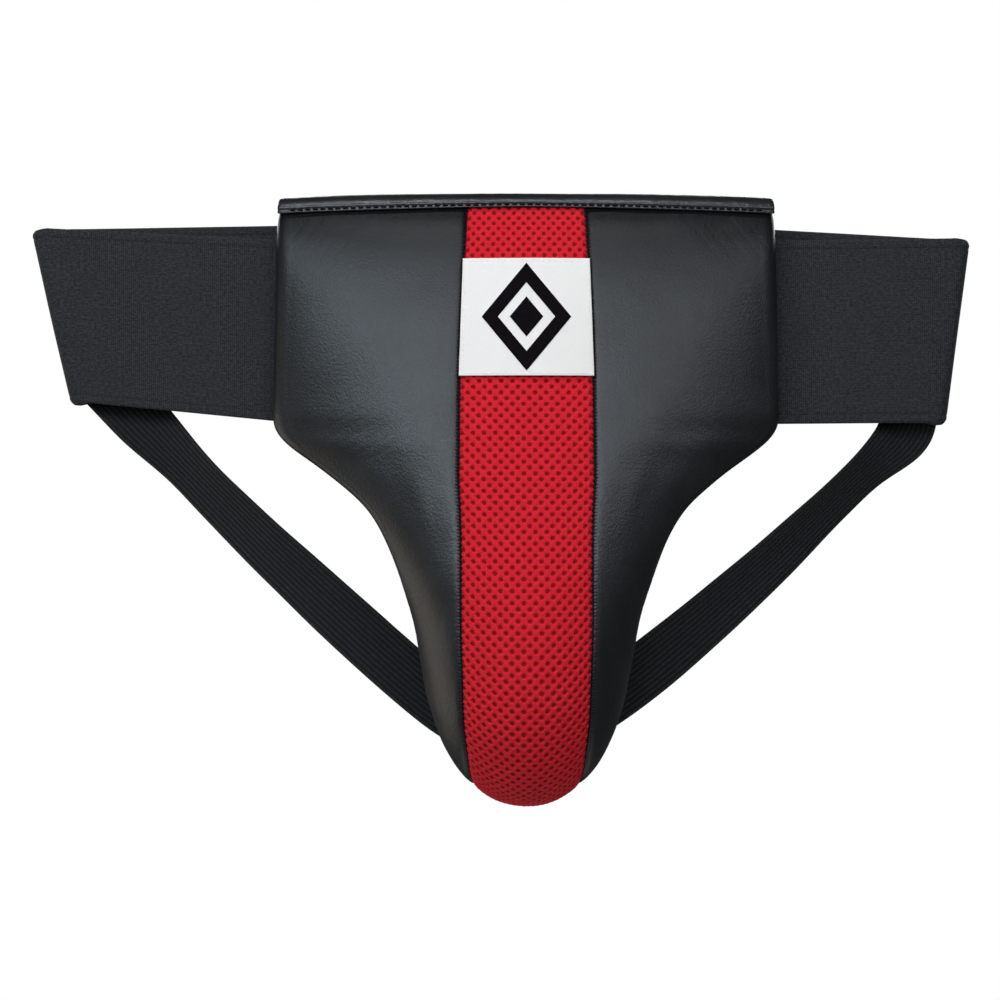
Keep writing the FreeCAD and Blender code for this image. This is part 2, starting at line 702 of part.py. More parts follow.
def sewn_end(fold, points):
    """Stations and facing of a strap end that lies flat on the rear band between its turn and its bend."""
    start = size("band_front") + 2 * size("fold_radius") + size("band_thick")
    rise_back = size("rear_bow") + size("band_thick") - start
    run = abs(fold) - size("rear_bend")
    lift = size("layer_gap") + size("strap_thick") / 2
    stations = [(x, start + rise_back * (abs(fold) - abs(x)) / run + lift, z, 0) for x, z in points]
    return stations, Vector(math.copysign(rise_back / run, fold), 1, 0).normalize()


def make_straps():
    width, thick = size("strap_width"), size("strap_thick")
    for name, fold, stations, end in (("left", size("left_fold_top"), LEFT_STRAP, LEFT_STRAP_END),
                                      ("right", size("right_fold_top"), RIGHT_STRAP, RIGHT_STRAP_END)):
        keep(strap_slab(stations, width, thick, Vector(0, 1, 0)), "leg_strap_%s" % name)
        stations, facing = sewn_end(fold, end)
        keep(strap_slab(stations, width, thick, facing), "leg_strap_%s_end" % name)


def make_anchor():
    half_width, half_height = "anchor_width / 2", "anchor_height / 2"
    high, low = "anchor_middle + %s" % half_height, "anchor_middle - %s" % half_height
    corners = [("-%s" % half_width, high), (half_width, high), (half_width, low), ("-%s" % half_width, low)]
    plate("tail_anchor_patch", corners, "anchor_thick", "anchor_front")


def write_parts():
    doc.recompute()
    for item in doc.Objects:
        if "Invalid" in item.State or "Error" in item.State:
            raise RuntimeError("%s failed: %s" % (item.Label, item.State))
    faulty = [item.Label for item in subparts if item.Shape.isNull() or not item.Shape.isValid()]
    if faulty:
        raise RuntimeError("no valid shape: %s" % ", ".join(faulty))
    for item in subparts:
        shape = item.Shape
        shape.exportStep(os.path.join("parts", item.Label + ".step"))
        print("%-24s %9.0f mm3  %d solids" % (item.Label, shape.Volume, len(shape.Solids)))


for side, name in ((-1, "left"), (1, "right")):
    make_wing(side, name)
    make_seam(side, name)
make_centre()
make_lining()
make_cup()
make_binding()
make_binding_stitches()
make_label()
make_label_stitches()
make_front_halves()
make_folds()
make_rear_halves()
make_straps()
make_anchor()
write_parts()
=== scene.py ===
"""Groin protector: the visible surfaces, seams, stitches, materials, light and camera.

Metres, in the model's own frame: +X to the viewer's right, +Y to the wearer's back, +Z up.
"""
import bpy
import math
import numpy as np
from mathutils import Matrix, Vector


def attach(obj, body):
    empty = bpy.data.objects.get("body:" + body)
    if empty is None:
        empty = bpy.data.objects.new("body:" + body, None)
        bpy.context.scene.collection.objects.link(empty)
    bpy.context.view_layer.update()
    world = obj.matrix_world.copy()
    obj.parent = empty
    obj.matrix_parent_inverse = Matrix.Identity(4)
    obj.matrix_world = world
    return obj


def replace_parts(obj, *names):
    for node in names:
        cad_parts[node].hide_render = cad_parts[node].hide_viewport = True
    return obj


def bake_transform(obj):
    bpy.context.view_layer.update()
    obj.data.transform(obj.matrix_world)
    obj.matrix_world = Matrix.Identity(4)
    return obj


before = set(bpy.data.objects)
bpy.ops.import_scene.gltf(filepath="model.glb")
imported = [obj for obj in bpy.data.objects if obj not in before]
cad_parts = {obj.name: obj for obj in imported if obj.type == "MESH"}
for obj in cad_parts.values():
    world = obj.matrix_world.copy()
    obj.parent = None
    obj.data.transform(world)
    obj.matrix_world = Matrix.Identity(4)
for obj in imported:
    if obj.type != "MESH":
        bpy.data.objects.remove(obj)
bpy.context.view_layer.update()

# ---- sizes that repeat the design

SIDE_PLANE = 0.021
SKIN = 0.0013
GAP = 0.0005
LEATHER_WRAP = 0.008
MESH_PROUD = 0.0015
MESH_THICK = 0.0022
CUP_ROOM = 0.007

# height, front, tilt, half width, thickness, drop, arch, half width of the centre panel
SECTIONS = [
    (0.065, -0.001, 0, 0.1365, 0.012, 0, 40, 0.0322),
    (0.059, -0.0032, 0, 0.1369, 0.012, 0, 40, 0.0324),
    (0.045, -0.0095, 0, 0.1375, 0.0165, 0, 40, 0.033),
    (0.020, -0.0165, 0, 0.138, 0.018, 0, 40, 0.034),
    (-0.010, -0.023, 0, 0.1384, 0.018, 0, 40, 0.035),
    (-0.035, -0.028, 0, 0.1389, 0.018, 0, 40, 0.0355),
    (-0.050, -0.0315, 0, 0.139, 0.018, 0, 40, 0.0355),
    (-0.058, -0.0335, 0, 0.1374, 0.0175, 0, 40, 0.0355),
    (-0.066, -0.0353, 0, 0.1306, 0.017, 0.0355, 42, 0.0355),
    (-0.075, -0.0374, 0, 0.1184, 0.0165, 0.033, 45, 0.0355),
    (-0.086, -0.040, 0, 0.1034, 0.016, 0.0285, 50, 0.0355),
    (-0.100, -0.0432, 0, 0.088, 0.016, 0.0245, 55, 0.0346),
    (-0.118, -0.0473, 0, 0.0766, 0.016, 0.024, 62, 0.0338),
    (-0.140, -0.052, 1, 0.0683, 0.016, 0.0275, 70, 0.0331),
    (-0.162, -0.0553, 4, 0.0623, 0.016, 0.033, 77, 0.0324),
    (-0.184, -0.0562, 9, 0.0588, 0.0155, 0.0375, 82, 0.0316),
    (-0.205, -0.0545, 18, 0.0565, 0.015, 0.0395, 84, 0.031),
    (-0.225, -0.0486, 32, 0.0545, 0.015, 0.0395, 84, 0.03),
    (-0.242, -0.0378, 49, 0.052, 0.0145, 0.0375, 84, 0.0284),
    (-0.2545, -0.0225, 67, 0.0485, 0.014, 0.034, 84, 0.0274),
    (-0.2615, -0.004, 84, 0.044, 0.0135, 0.0295, 82, 0.0256),
    (-0.263, 0.015, 99, 0.0385, 0.013, 0.0235, 78, 0.023),
    (-0.258, 0.033, 118, 0.033, 0.012, 0.0165, 70, 0.02),
    (-0.2475, 0.0465, 139, 0.0285, 0.011, 0.011, 62, 0.018),
    (-0.234, 0.0535, 158, 0.026, 0.010, 0.0075, 54, 0.0165),
    (-0.220, 0.0565, 170, 0.025, 0.009, 0.006, 50, 0.016),
]
TAIL_END = len(SECTIONS) - 1.0

BAND_THICK = 0.002
BAND_FRONT = 0.022
BAND_INNER = 0.121
BAND_TOP_SIDE = 0.0472
BAND_LOW_SIDE = -0.0543
FOLD_RADIUS = 0.005
REAR_TOP = 0.062
REAR_LOW = -0.040
REAR_BEND = 0.150
REAR_BOW = 0.043
REAR_STRAIGHT = 0.070
OVERLAP_HALF = 0.040
TAB_GAP = 0.0006
# each side's fold: x and z of its upper end, x and z of its lower end, inner face of its flat rear end
LEFT_FOLD = dict(top=(-0.269, 0.0543), low=(-0.24668, -0.0424), flat=0.049, end=OVERLAP_HALF)
RIGHT_FOLD = dict(top=(0.241, 0.0487), low=(0.22718, -0.0535), flat=0.054, end=OVERLAP_HALF + TAB_GAP)

STRAP_WIDTH = 0.032
STRAP_THICK = 0.0017
# x, y, z of each leg strap's middle line and the turn of its width about that line
LEFT_STRAP = [
    (-0.2123, 0.0407, -0.0541, 10), (-0.190, 0.0428, -0.077, 34), (-0.1602, 0.0448, -0.1075, 30),
    (-0.126, 0.047, -0.1405, 20), (-0.091, 0.050, -0.173, 8), (-0.0565, 0.0538, -0.2035, 3),
    (-0.030, 0.0574, -0.2215, 0), (0.004, 0.0598, -0.234, 0),
]
RIGHT_STRAP = [
    (0.2129, 0.0391, -0.0552, -7), (0.205, 0.0406, -0.067, -28), (0.189, 0.0428, -0.0815, -46),
    (0.1675, 0.045, -0.102, -44), (0.1404, 0.0475, -0.1285, -35), (0.1094, 0.050, -0.1563, -24),
    (0.078, 0.0535, -0.1835, -10), (0.047, 0.0582, -0.2075, 0), (0.019, 0.0613, -0.224, 0),
    (-0.004, 0.0618, -0.232, 0),
]
LEFT_STRAP_END = [(-0.2335, -0.0317), (-0.2232, -0.0426)]
RIGHT_STRAP_END = [(0.2145, -0.029), (0.214, -0.042)]


# ---- camera, light and floor

def set_stage():
    """A camera that looks straight at the guard's front, white surroundings, soft boxes and a floor."""
    scene = bpy.context.scene
    scene.view_settings.view_transform = "Standard"
    camera = bpy.data.objects.new("camera", bpy.data.cameras.new("camera"))
    camera.data.sensor_width = 36
    camera.data.lens = 117.8
    camera.location = (-0.0143, -1.79, -0.09625)
    camera.rotation_euler = (math.radians(90), 0, 0)
    scene.collection.objects.link(camera)
    scene.camera = camera

    world = bpy.data.worlds.new("studio")
    scene.world = world
    world.use_nodes = True
    nodes = world.node_tree.nodes
    links = world.node_tree.links
    seen = nodes["Background"]
    lighting = nodes.new("ShaderNodeBackground")
    for background, colour, strength in ((seen, (1, 1, 1, 1), 1.0), (lighting, (0.95, 0.97, 1, 1), 0.06)):
        background.inputs["Color"].default_value = colour
        background.inputs["Strength"].default_value = strength
    path = nodes.new("ShaderNodeLightPath")
    mix = nodes.new("ShaderNodeMixShader")
    links.new(path.outputs["Is Camera Ray"], mix.inputs[0])
    links.new(lighting.outputs[0], mix.inputs[1])
    links.new(seen.outputs[0], mix.inputs[2])
    links.new(mix.outputs[0], nodes["World Output"].inputs["Surface"])

    # azimuth from the front and elevation; distance, width and height, brightness
    soft_box("left_key", (-32, 23), 1.0, (0.85, 0.22), 8.5, (0.76, 0.89, 1.0))
    soft_box("right_key", (37, 22), 1.0, (0.7, 0.2), 4.2, (0.88, 0.92, 1.0))
    soft_box("seam_glint", (11, 22), 1.0, (0.12, 0.34), 9, (0.76, 0.89, 1.0))
    soft_box("front_fill", (-4, 9), 1.9, (0.5, 0.5), 8.5)
    soft_box("high_strip", (-8, 58), 1.6, (1.3, 0.16), 17)
    soft_box("low_left", (-100, -15), 1.6, (1.1, 1.1), 1.4, (1.0, 0.91, 0.78))
    soft_box("back_left", (-150, 20), 1.8, (1.3, 0.9), 7.5)
    soft_box("back_right", (150, 20), 1.8, (1.3, 0.9), 6.5)

    bpy.ops.mesh.primitive_circle_add(vertices=96, radius=0.5, fill_type="NGON",
                                      location=(-0.0143, 0.02, -0.75))
    floor = bpy.context.object
    floor.name = "floor"
    pale = Recipe("pale_floor", (0.60, 0.58, 0.56), 0.7)
    pale.bump(pale.noise(120), 0.02, 0.001)
    floor.data.materials.append(pale.material)


def soft_box(name, direction, distance, size, brightness, colour=(0.95, 0.975, 1.0)):
    """A rectangular lamp aimed at the guard; brightness is what a white card facing it would mirror."""
    azimuth, elevation = (math.radians(angle) for angle in direction)
    target = Vector((0, 0, -0.08))
    away = Vector((math.sin(azimuth) * math.cos(elevation), -math.cos(azimuth) * math.cos(elevation),
                   math.sin(elevation)))
    lamp = bpy.data.lights.new(name, "AREA")
    lamp.shape = "RECTANGLE"
    lamp.size, lamp.size_y = size
    lamp.energy = brightness * math.pi * size[0] * size[1]
    lamp.color = colour
    box = bpy.data.objects.new(name, lamp)
    box.location = target + away * distance
    box.rotation_euler = (-away).to_track_quat("-Z", "Y").to_euler()
    box.visible_camera = False
    bpy.context.scene.collection.objects.link(box)


# ---- materials

class Recipe:
    """One procedural material; its methods add nodes and return their output sockets."""

    def __init__(self, name, colour, roughness, **shader_inputs):
        self.material = bpy.data.materials.new(name)
        self.material.use_nodes = True
        self.tree = self.material.node_tree
        self.shader = self.tree.nodes["Principled BSDF"]
        self.set("Base Color", (*colour, 1))
        self.set("Roughness", roughness)
        for key, value in shader_inputs.items():
            self.set(key.replace("_", " "), value)

    def set(self, name, value):
        self.feed(self.shader.inputs[name], value)

    def feed(self, socket, value):
        """Links an output socket, or sets a plain value."""
        if isinstance(value, bpy.types.NodeSocket):
            self.tree.links.new(value, socket)
        else:
            socket.default_value = value

    def node(self, kind, inputs=(), **settings):
        node = self.tree.nodes.new(kind)
        for key, value in settings.items():
            setattr(node, key, value)
        for key, value in dict(inputs).items():
            self.feed(node.inputs[key], value)
        return node

    def place(self, scale=(1, 1, 1), uv=False):
        """Object coordinates in metres, or the piece's own along-and-across lengths, stretched."""
        source = self.node("ShaderNodeTexCoord").outputs["UV" if uv else "Object"]
        return self.node("ShaderNodeMapping", {"Vector": source, "Scale": scale}).outputs[0]

    def noise(self, scale, place=None, detail=3.0, rough=0.55):
        inputs = {"Vector": place or self.place(), "Scale": scale, "Detail": detail, "Roughness": rough}
        return self.node("ShaderNodeTexNoise", inputs).outputs["Fac"]

    def cells(self, scale):
        return self.node("ShaderNodeTexVoronoi", {"Vector": self.place(), "Scale": scale}).outputs["Distance"]

    def maths(self, operation, first, second=0.0, third=0.0):
        node = self.node("ShaderNodeMath", {0: first, 1: second, 2: third}, operation=operation)
        return node.outputs[0]

    def times(self, first, second):
        return self.maths("MULTIPLY", first, second)

    def plus(self, first, second):
        return self.maths("ADD", first, second)

    def split(self, vector):
        return self.node("ShaderNodeSeparateXYZ", {0: vector}).outputs

    def wave(self, length_socket, pitch):
        """Smooth ribs, from 0 to 1, at a pitch along a length."""
        turn = self.times(length_socket, 2 * math.pi / pitch)
        return self.maths("MULTIPLY_ADD", self.maths("SINE", turn), 0.5, 0.5)

    def ramp(self, value, low, high):
        node = self.node("ShaderNodeMapRange", {"Value": value, "From Min": low, "From Max": high})
        return node.outputs[0]

    def mix(self, share, first, second):
        node = self.node("ShaderNodeMix", data_type="RGBA")
        self.feed(node.inputs[0], share)
        for socket, colour in ((node.inputs[6], first), (node.inputs[7], second)):
            self.feed(socket, (*colour, 1) if isinstance(colour, tuple) else colour)
        return node.outputs[2]

    def attribute(self, name):
        return self.node("ShaderNodeAttribute", attribute_name=name).outputs["Fac"]

    def bump(self, height, strength, distance):
        """Adds a relief on top of the ones already there."""
        socket = self.shader.inputs["Normal"]
        node = self.node("ShaderNodeBump", {"Height": height, "Strength": strength, "Distance": distance})
        if socket.is_linked:
            self.tree.links.new(socket.links[0].from_socket, node.inputs["Normal"])
        self.tree.links.new(node.outputs[0], socket)


def leather_recipe(name, colour, worn, roughness):
    """Fine-grained synthetic leather: small pebbles between creases, lighter wear in patches, and painted
    shade where a piece marks it.
    """
    recipe = Recipe(name, colour, roughness, Specular_IOR_Level=0.5)
    skin = recipe.mix(recipe.ramp(recipe.noise(38, detail=5), 0.42, 0.75), colour, worn)
    crease = recipe.noise(420, detail=4)
    recipe.bump(recipe.plus(recipe.times(recipe.cells(900), 0.8), recipe.times(crease, 0.9)), 0.28, 0.0004)
    recipe.bump(recipe.noise(110), 0.06, 0.0010)
    recipe.set("Roughness", recipe.maths("MULTIPLY_ADD", crease, 0.16, roughness - 0.08))
    # painted shade: the base colour is darkened toward black and the specular lowered where the leather turns
    # in under the binding
    painted_top_shade = recipe.attribute("painted_top_shade")
    recipe.set("Specular IOR Level", recipe.maths("MULTIPLY_ADD", painted_top_shade, -0.46, 0.5))
    recipe.set("Base Color", recipe.mix(recipe.times(painted_top_shade, 0.75), skin, (0.001, 0.001, 0.001)))
    return recipe.material


def mesh_recipe():
    """Red three-layer air mesh: pits between knitted cords, with shade painted dark into the pits, each cord a
    bundle of fine yarn.
    """
    recipe = Recipe("red_air_mesh", (0.50, 0.008, 0.016), 0.62, Specular_IOR_Level=0.14, Sheen_Weight=0.02,
                    Sheen_Roughness=0.4)
    recipe.set("Sheen Tint", (1, 0.3, 0.3, 1))
    place = recipe.place(uv=True)
    lengths = recipe.split(place)
    yarn = recipe.plus(*(recipe.wave(recipe.maths(operation, lengths[0], lengths[1]), 0.00075)
                         for operation in ("ADD", "SUBTRACT")))
    strand = recipe.noise(1000, place)
    shade = recipe.maths("MULTIPLY_ADD", recipe.times(yarn, 0.5), 0.45, recipe.times(strand, 0.45))
    lit = recipe.mix(recipe.ramp(shade, 0.20, 0.60), (0.47, 0.003, 0.009), (0.82, 0.022, 0.036))
    # painted shade: the mesh colour is darkened inside the pits, where shade falls
    pit_shade = recipe.ramp(recipe.attribute("pit"), 0.30, 0.62)
    recipe.set("Base Color", recipe.mix(pit_shade, lit, (0.27, 0.0012, 0.005)))
    recipe.bump(yarn, 0.5, 0.0004)
    recipe.bump(strand, 0.5, 0.0004)
    return recipe.material


def elastic_recipe(name, dark, light, rib, is_band, roughness):
    """Woven elastic in heathered yarn: the band has a dotted selvage; the leg straps have painted shade, their
    valleys between the ribs darkened toward black.
    """
    recipe = Recipe(name, dark, roughness, Specular_IOR_Level=0.3, Sheen_Weight=0.04, Sheen_Roughness=0.5)
    place = recipe.place(uv=True)
    lengths = recipe.split(place)
    weave = recipe.times(recipe.wave(lengths[0], rib), recipe.wave(lengths[1], rib * 0.8))
    heather = recipe.noise(760, recipe.place((0.7, 1.0, 1.0), uv=True), rough=0.75)
    tone = recipe.plus(recipe.times(heather, 0.92), recipe.times(recipe.noise(70, place), 0.08))
    tone = recipe.maths("MULTIPLY_ADD", weave, 0.25, tone)
    cloth = recipe.mix(recipe.ramp(tone, 0.44, 0.70), dark, light)
    if is_band:
        dots = recipe.times(recipe.attribute("selvage"), recipe.wave(lengths[0], 0.0017))
        cloth = recipe.mix(recipe.times(dots, 0.7), cloth, (0.003, 0.003, 0.003))
    else:
        # painted shade: the valleys between the strap's ribs are darkened toward black
        cloth = recipe.mix(recipe.ramp(recipe.attribute("valley"), 0.1, 0.6), cloth, (0.001, 0.001, 0.0012))
    recipe.set("Base Color", cloth)
    recipe.bump(weave, 0.5, 0.0004)
    recipe.bump(heather, 0.6, 0.0005)
    return recipe.material


def cloth_recipe(name, dark, light, thread, roughness, shine=0.3):
    """Plain woven or knitted cloth in object space."""
    recipe = Recipe(name, dark, roughness, Specular_IOR_Level=shine, Sheen_Weight=0.1 * shine)
    fibre = recipe.noise(0.6 / thread, detail=4, rough=0.65)
    recipe.set("Base Color", recipe.mix(recipe.ramp(fibre, 0.35, 0.75), dark, light))
    recipe.bump(recipe.cells(1 / thread), 0.5, thread * 0.4)
    recipe.bump(fibre, 0.3, thread * 0.5)
    return recipe.material


def plastic_recipe(name, colour, light, roughness):
    """Moulded plastic: a faint orange-peel and flow marks."""
    recipe = Recipe(name, colour, roughness)
    flow = recipe.noise(90)
    recipe.bump(recipe.noise(600, detail=2), 0.08, 0.0003)
    recipe.set("Roughness", recipe.maths("MULTIPLY_ADD", flow, 0.2, roughness - 0.1))
    recipe.set("Base Color", recipe.mix(recipe.ramp(flow, 0.4, 0.7), colour, light))
    return recipe.material


# key: material, dark and light colours, width of a thread, roughness and shine
CLOTHS = {
    "lining": ("lining_cloth", (0.013, 0.013, 0.015), (0.030, 0.031, 0.034), 0.0009, 0.85),
    "label": ("label_face", (0.76, 0.715, 0.67), (0.80, 0.75, 0.70), 0.0005, 0.8, 0.1),
    "mark": ("label_mark", (0.003, 0.002, 0.003), (0.006, 0.004, 0.005), 0.0005, 0.9, 0.06),
    "thread": ("dark_thread", (0.002, 0.0023, 0.003), (0.009, 0.0105, 0.0135), 0.0004, 0.8, 0.1),
    "light_thread": ("light_thread", (0.80, 0.78, 0.75), (0.86, 0.83, 0.80), 0.0004, 0.8, 0.1),
    "foam": ("grey_foam", (0.22, 0.22, 0.23), (0.30, 0.30, 0.31), 0.0012, 0.95),
    "rim": ("rim_foam", (0.05, 0.05, 0.055), (0.08, 0.08, 0.085), 0.0012, 0.9),
    "hooks": ("hook_tape", (0.009, 0.009, 0.010), (0.028, 0.028, 0.030), 0.0011, 0.5),
    "loops": ("loop_tape", (0.010, 0.010, 0.011), (0.033, 0.033, 0.036), 0.0007, 0.95),
}


def make_materials():
    materials = {
        "leather": leather_recipe("black_leather", (0.0085, 0.0088, 0.0095), (0.013, 0.0138, 0.015), 0.42),
        "binding": leather_recipe("binding_leather", (0.0085, 0.0090, 0.0102), (0.013, 0.0142, 0.016), 0.31),
        "mesh": mesh_recipe(),
        "band": elastic_recipe("waist_elastic", (0.004, 0.0042, 0.0048), (0.029, 0.0295, 0.0325),
                               0.0011, True, 0.8),
        "strap": elastic_recipe("leg_elastic", (0.0065, 0.0066, 0.0080), (0.023, 0.0235, 0.028),
                                0.0008, False, 0.72),
        "cup": plastic_recipe("cup_plastic", (0.55, 0.56, 0.57), (0.6325, 0.644, 0.6555), 0.4),
    }
    for key, values in CLOTHS.items():
        materials[key] = cloth_recipe(*values)
    return materials


# ---- curves and grids

def smooth_line(rows):
    """A natural cubic spline through rows of numbers that lie one unit of its parameter apart."""
    rows = np.array(rows, float)
    count = len(rows)
    system = np.eye(count)
    bends = np.zeros_like(rows)
    for i in range(1, count - 1):
        system[i, i - 1:i + 2] = (1, 4, 1)
        bends[i] = 6 * (rows[i - 1] - 2 * rows[i] + rows[i + 1])
    bends = np.linalg.solve(system, bends)

    def value(at):
        at = np.clip(np.asarray(at, float), 0, count - 1)
        low = np.minimum(at.astype(int), count - 2)
        share = (at - low)[..., None]
        rest = 1 - share
        return (rest * rows[low] + share * rows[low + 1]
                + ((rest ** 3 - rest) * bends[low] + (share ** 3 - share) * bends[low + 1]) / 6)

    return value


def smooth_step(value, low, high):
    share = np.clip((np.asarray(value, float) - low) / (high - low), 0, 1)
    return share * share * (3 - 2 * share)


def bell(value, middle, width):
    return np.exp(-((value - middle) / width) ** 2)


def unit(vectors):
    return vectors / np.maximum(np.linalg.norm(vectors, axis=-1, keepdims=True), 1e-12)


def runs(points):
    """Length from the start to each point of a line, or down each column of a grid."""
    steps = np.linalg.norm(np.diff(points, axis=0), axis=-1)
    return np.concatenate([np.zeros((1,) + steps.shape[1:]), np.cumsum(steps, axis=0)])


def at_runs(places, run, points):
    """Points of a line at given lengths along it."""
    return np.stack([np.interp(places, run, points[:, k]) for k in range(3)], axis=1)


def finer(grid, rows, columns):
    """The same smooth surface with more rows and columns of points."""
    height, width, _ = grid.shape
    tall = smooth_line(grid.reshape(height, -1))(np.linspace(0, height - 1, rows)).reshape(rows, width, 3)
    wide = tall.transpose(1, 0, 2).reshape(width, -1)
    wide = smooth_line(wide)(np.linspace(0, width - 1, columns)).reshape(columns, rows, 3)
    return wide.transpose(1, 0, 2)


def normals(grid):
    """Unit normals of a grid of points: to the front where its rows run down and its columns to +X."""
    return unit(np.cross(np.gradient(grid, axis=0), np.gradient(grid, axis=1)))


def ripple(first, second, scale, seed):
    """Smooth irregular waves between about -1 and 1, always the same for one seed."""
    draw = np.random.default_rng(seed)
    total = np.zeros(np.broadcast(first, second).shape)
    for _ in range(7):
        angle = draw.uniform(0, 2 * math.pi)
        length = scale * draw.uniform(0.6, 1.7)
        phase = draw.uniform(0, 2 * math.pi)
        total += np.sin(2 * math.pi * (first * math.cos(angle) + second * math.sin(angle)) / length + phase)
    return total / 4


SECTION_LINE = smooth_line([row[:5] + (row[5] or SIDE_PLANE - row[1] - row[4],) + row[6:]
                            for row in SECTIONS])


def guard(along, across, lift, turn=0.0):
    """Points of the guard.  along counts the sections from the top, across runs from -1 to 1 between the
    rounded edges, lift is the distance from the middle layer, and turn is 0 to the front, 180 to the back."""
    given = [np.asarray(value, float) for value in (along, across, lift, turn)]
    along, across, lift, turn = np.broadcast_arrays(*given)
    height, front, tilt, half, thick, drop, arch, _ = np.moveaxis(SECTION_LINE(along), -1, 0)
    half = half - thick / 2
    arch, tilt, turn = np.radians(arch), np.radians(tilt), np.radians(turn)
    angle = np.minimum(1, np.abs(across)) * arch
    fall = drop / (1 - np.cos(arch))
    x = half * np.sin(angle) / np.sin(arch)
    depth = thick / 2 + fall * (1 - np.cos(angle))
    run_x = half * np.cos(angle) / np.sin(arch)
    run_depth = fall * np.sin(angle)
    length = np.hypot(run_x, run_depth)
    run_x, run_depth = run_x / length, run_depth / length
    forward, outward = lift * np.cos(turn), lift * np.sin(turn)
    x = x + forward * run_depth + outward * run_x
    depth = depth - forward * run_x + outward * run_depth
    return np.stack([np.where(across < 0, -1, 1) * x, front + depth * np.cos(tilt),
                     height + depth * np.sin(tilt)], axis=-1)


def thickness(along):
    return SECTION_LINE(along)[..., 4]


def place_of_x(along, x):
    """Where a distance from the centre plane lies across the guard."""
    values = SECTION_LINE(along)
    half = values[..., 3] - values[..., 4] / 2
    arch = np.radians(values[..., 6])
    return np.arcsin(np.clip(x * np.sin(arch) / half, -1, 1)) / arch


def seam_place(along, shift=0.0):
    """Where the centre panel's edge, moved outward by shift, lies across the guard."""
    return place_of_x(along, SECTION_LINE(along)[..., 7] + shift)


def along_at_height(height):
    """The section at a height on the front, where the height only falls."""
    places = np.linspace(0, 15, 3001)
    return float(np.interp(-height, -SECTION_LINE(places)[:, 0], places))


def centre_line(start, end):
    """Sections along the guard's front centre line, and the length from the first to each."""
    places = np.linspace(start, end, 2001)
    return places, runs(guard(places, 0, thickness(places) / 2))


def even_alongs(count, start=0.0, end=TAIL_END):
    """Sections spaced evenly along the guard's front centre line."""
    places, run = centre_line(start, end)
    return np.interp(np.linspace(0, run[-1], count), run, places)


def front_run(along):
    """Length along the front centre line from the top to each section."""
    return np.interp(along, *centre_line(0, TAIL_END))


# ---- pieces

def new_piece(name, points, faces, material, slot, body="root", lengths=None, marks=None, ride=True):
    """A smooth mesh piece; lengths are two lengths per point for woven patterns, marks are attributes."""
    mesh = bpy.data.meshes.new(name)
    mesh.from_pydata(np.asarray(points).reshape(-1, 3).tolist(), [], faces)
    mesh.validate()
    mesh.polygons.foreach_set("use_smooth", np.ones(len(mesh.polygons), bool))
    if lengths is not None:
        layer = mesh.uv_layers.new(name="lengths")
        corners = np.zeros(len(mesh.loops), int)
        mesh.loops.foreach_get("vertex_index", corners)
        layer.data.foreach_set("uv", np.asarray(lengths, float).reshape(-1, 2)[corners].ravel())
    for mark, values in (marks or {}).items():
        attribute = mesh.attributes.new(mark, "FLOAT", "POINT")
        attribute.data.foreach_set("value", np.asarray(values, float).ravel())
    piece = bpy.data.objects.new(name, mesh)
    bpy.context.scene.collection.objects.link(piece)
    mesh.materials.append(MATERIALS[material])
    if ride:
        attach(piece, body)
    return piece


def grid_faces(rows, columns, start=0, flip=False):
    faces = []
    for a in (start + i * columns + j for i in range(rows - 1) for j in range(columns - 1)):
        face = (a, a + 1, a + columns + 1, a + columns)
        faces.append(face[::-1] if flip else face)
    return faces


def ring_faces(first, second, count, flip=False):
    """Faces between two closed rings of points, each given by the number of its first point."""
    faces = []
    for k in range(count):
        n = (k + 1) % count
        face = (first + k, first + n, second + n, second + k)
        faces.append(face[::-1] if flip else face)
    return faces


def slab(name, outer, inner, material, slot, lengths=None, marks=None, **options):
    """A closed piece between two grids of the same shape, with straight sides."""
    rows, columns, _ = outer.shape
    count = rows * columns
    inside_out = (normals(outer) * (outer - inner)).sum() > 0
    faces = grid_faces(rows, columns) + grid_faces(rows, columns, count, True)
    border = list(range(columns)) + [i * columns + columns - 1 for i in range(1, rows)]
    border += [(rows - 1) * columns + j for j in range(columns - 2, -1, -1)]
    border += [i * columns for i in range(rows - 2, 0, -1)]
    for first, second in zip(border, border[1:] + border[:1]):
        faces.append((second, first, count + first, count + second))
    if inside_out:
        faces = [face[::-1] for face in faces]
    points = np.concatenate([outer.reshape(-1, 3), inner.reshape(-1, 3)])
    if lengths is not None:
        lengths = np.concatenate([lengths.reshape(-1, 2)] * 2)
    marks = {key: np.concatenate([value.ravel()] * 2) for key, value in (marks or {}).items()}
    return new_piece(name, points, faces, material, slot, lengths=lengths, marks=marks, **options)


STITCH_SIDES = 6
STITCH_RINGS = (-1.0, -0.72, -0.25, 0.25, 0.72, 1.0)


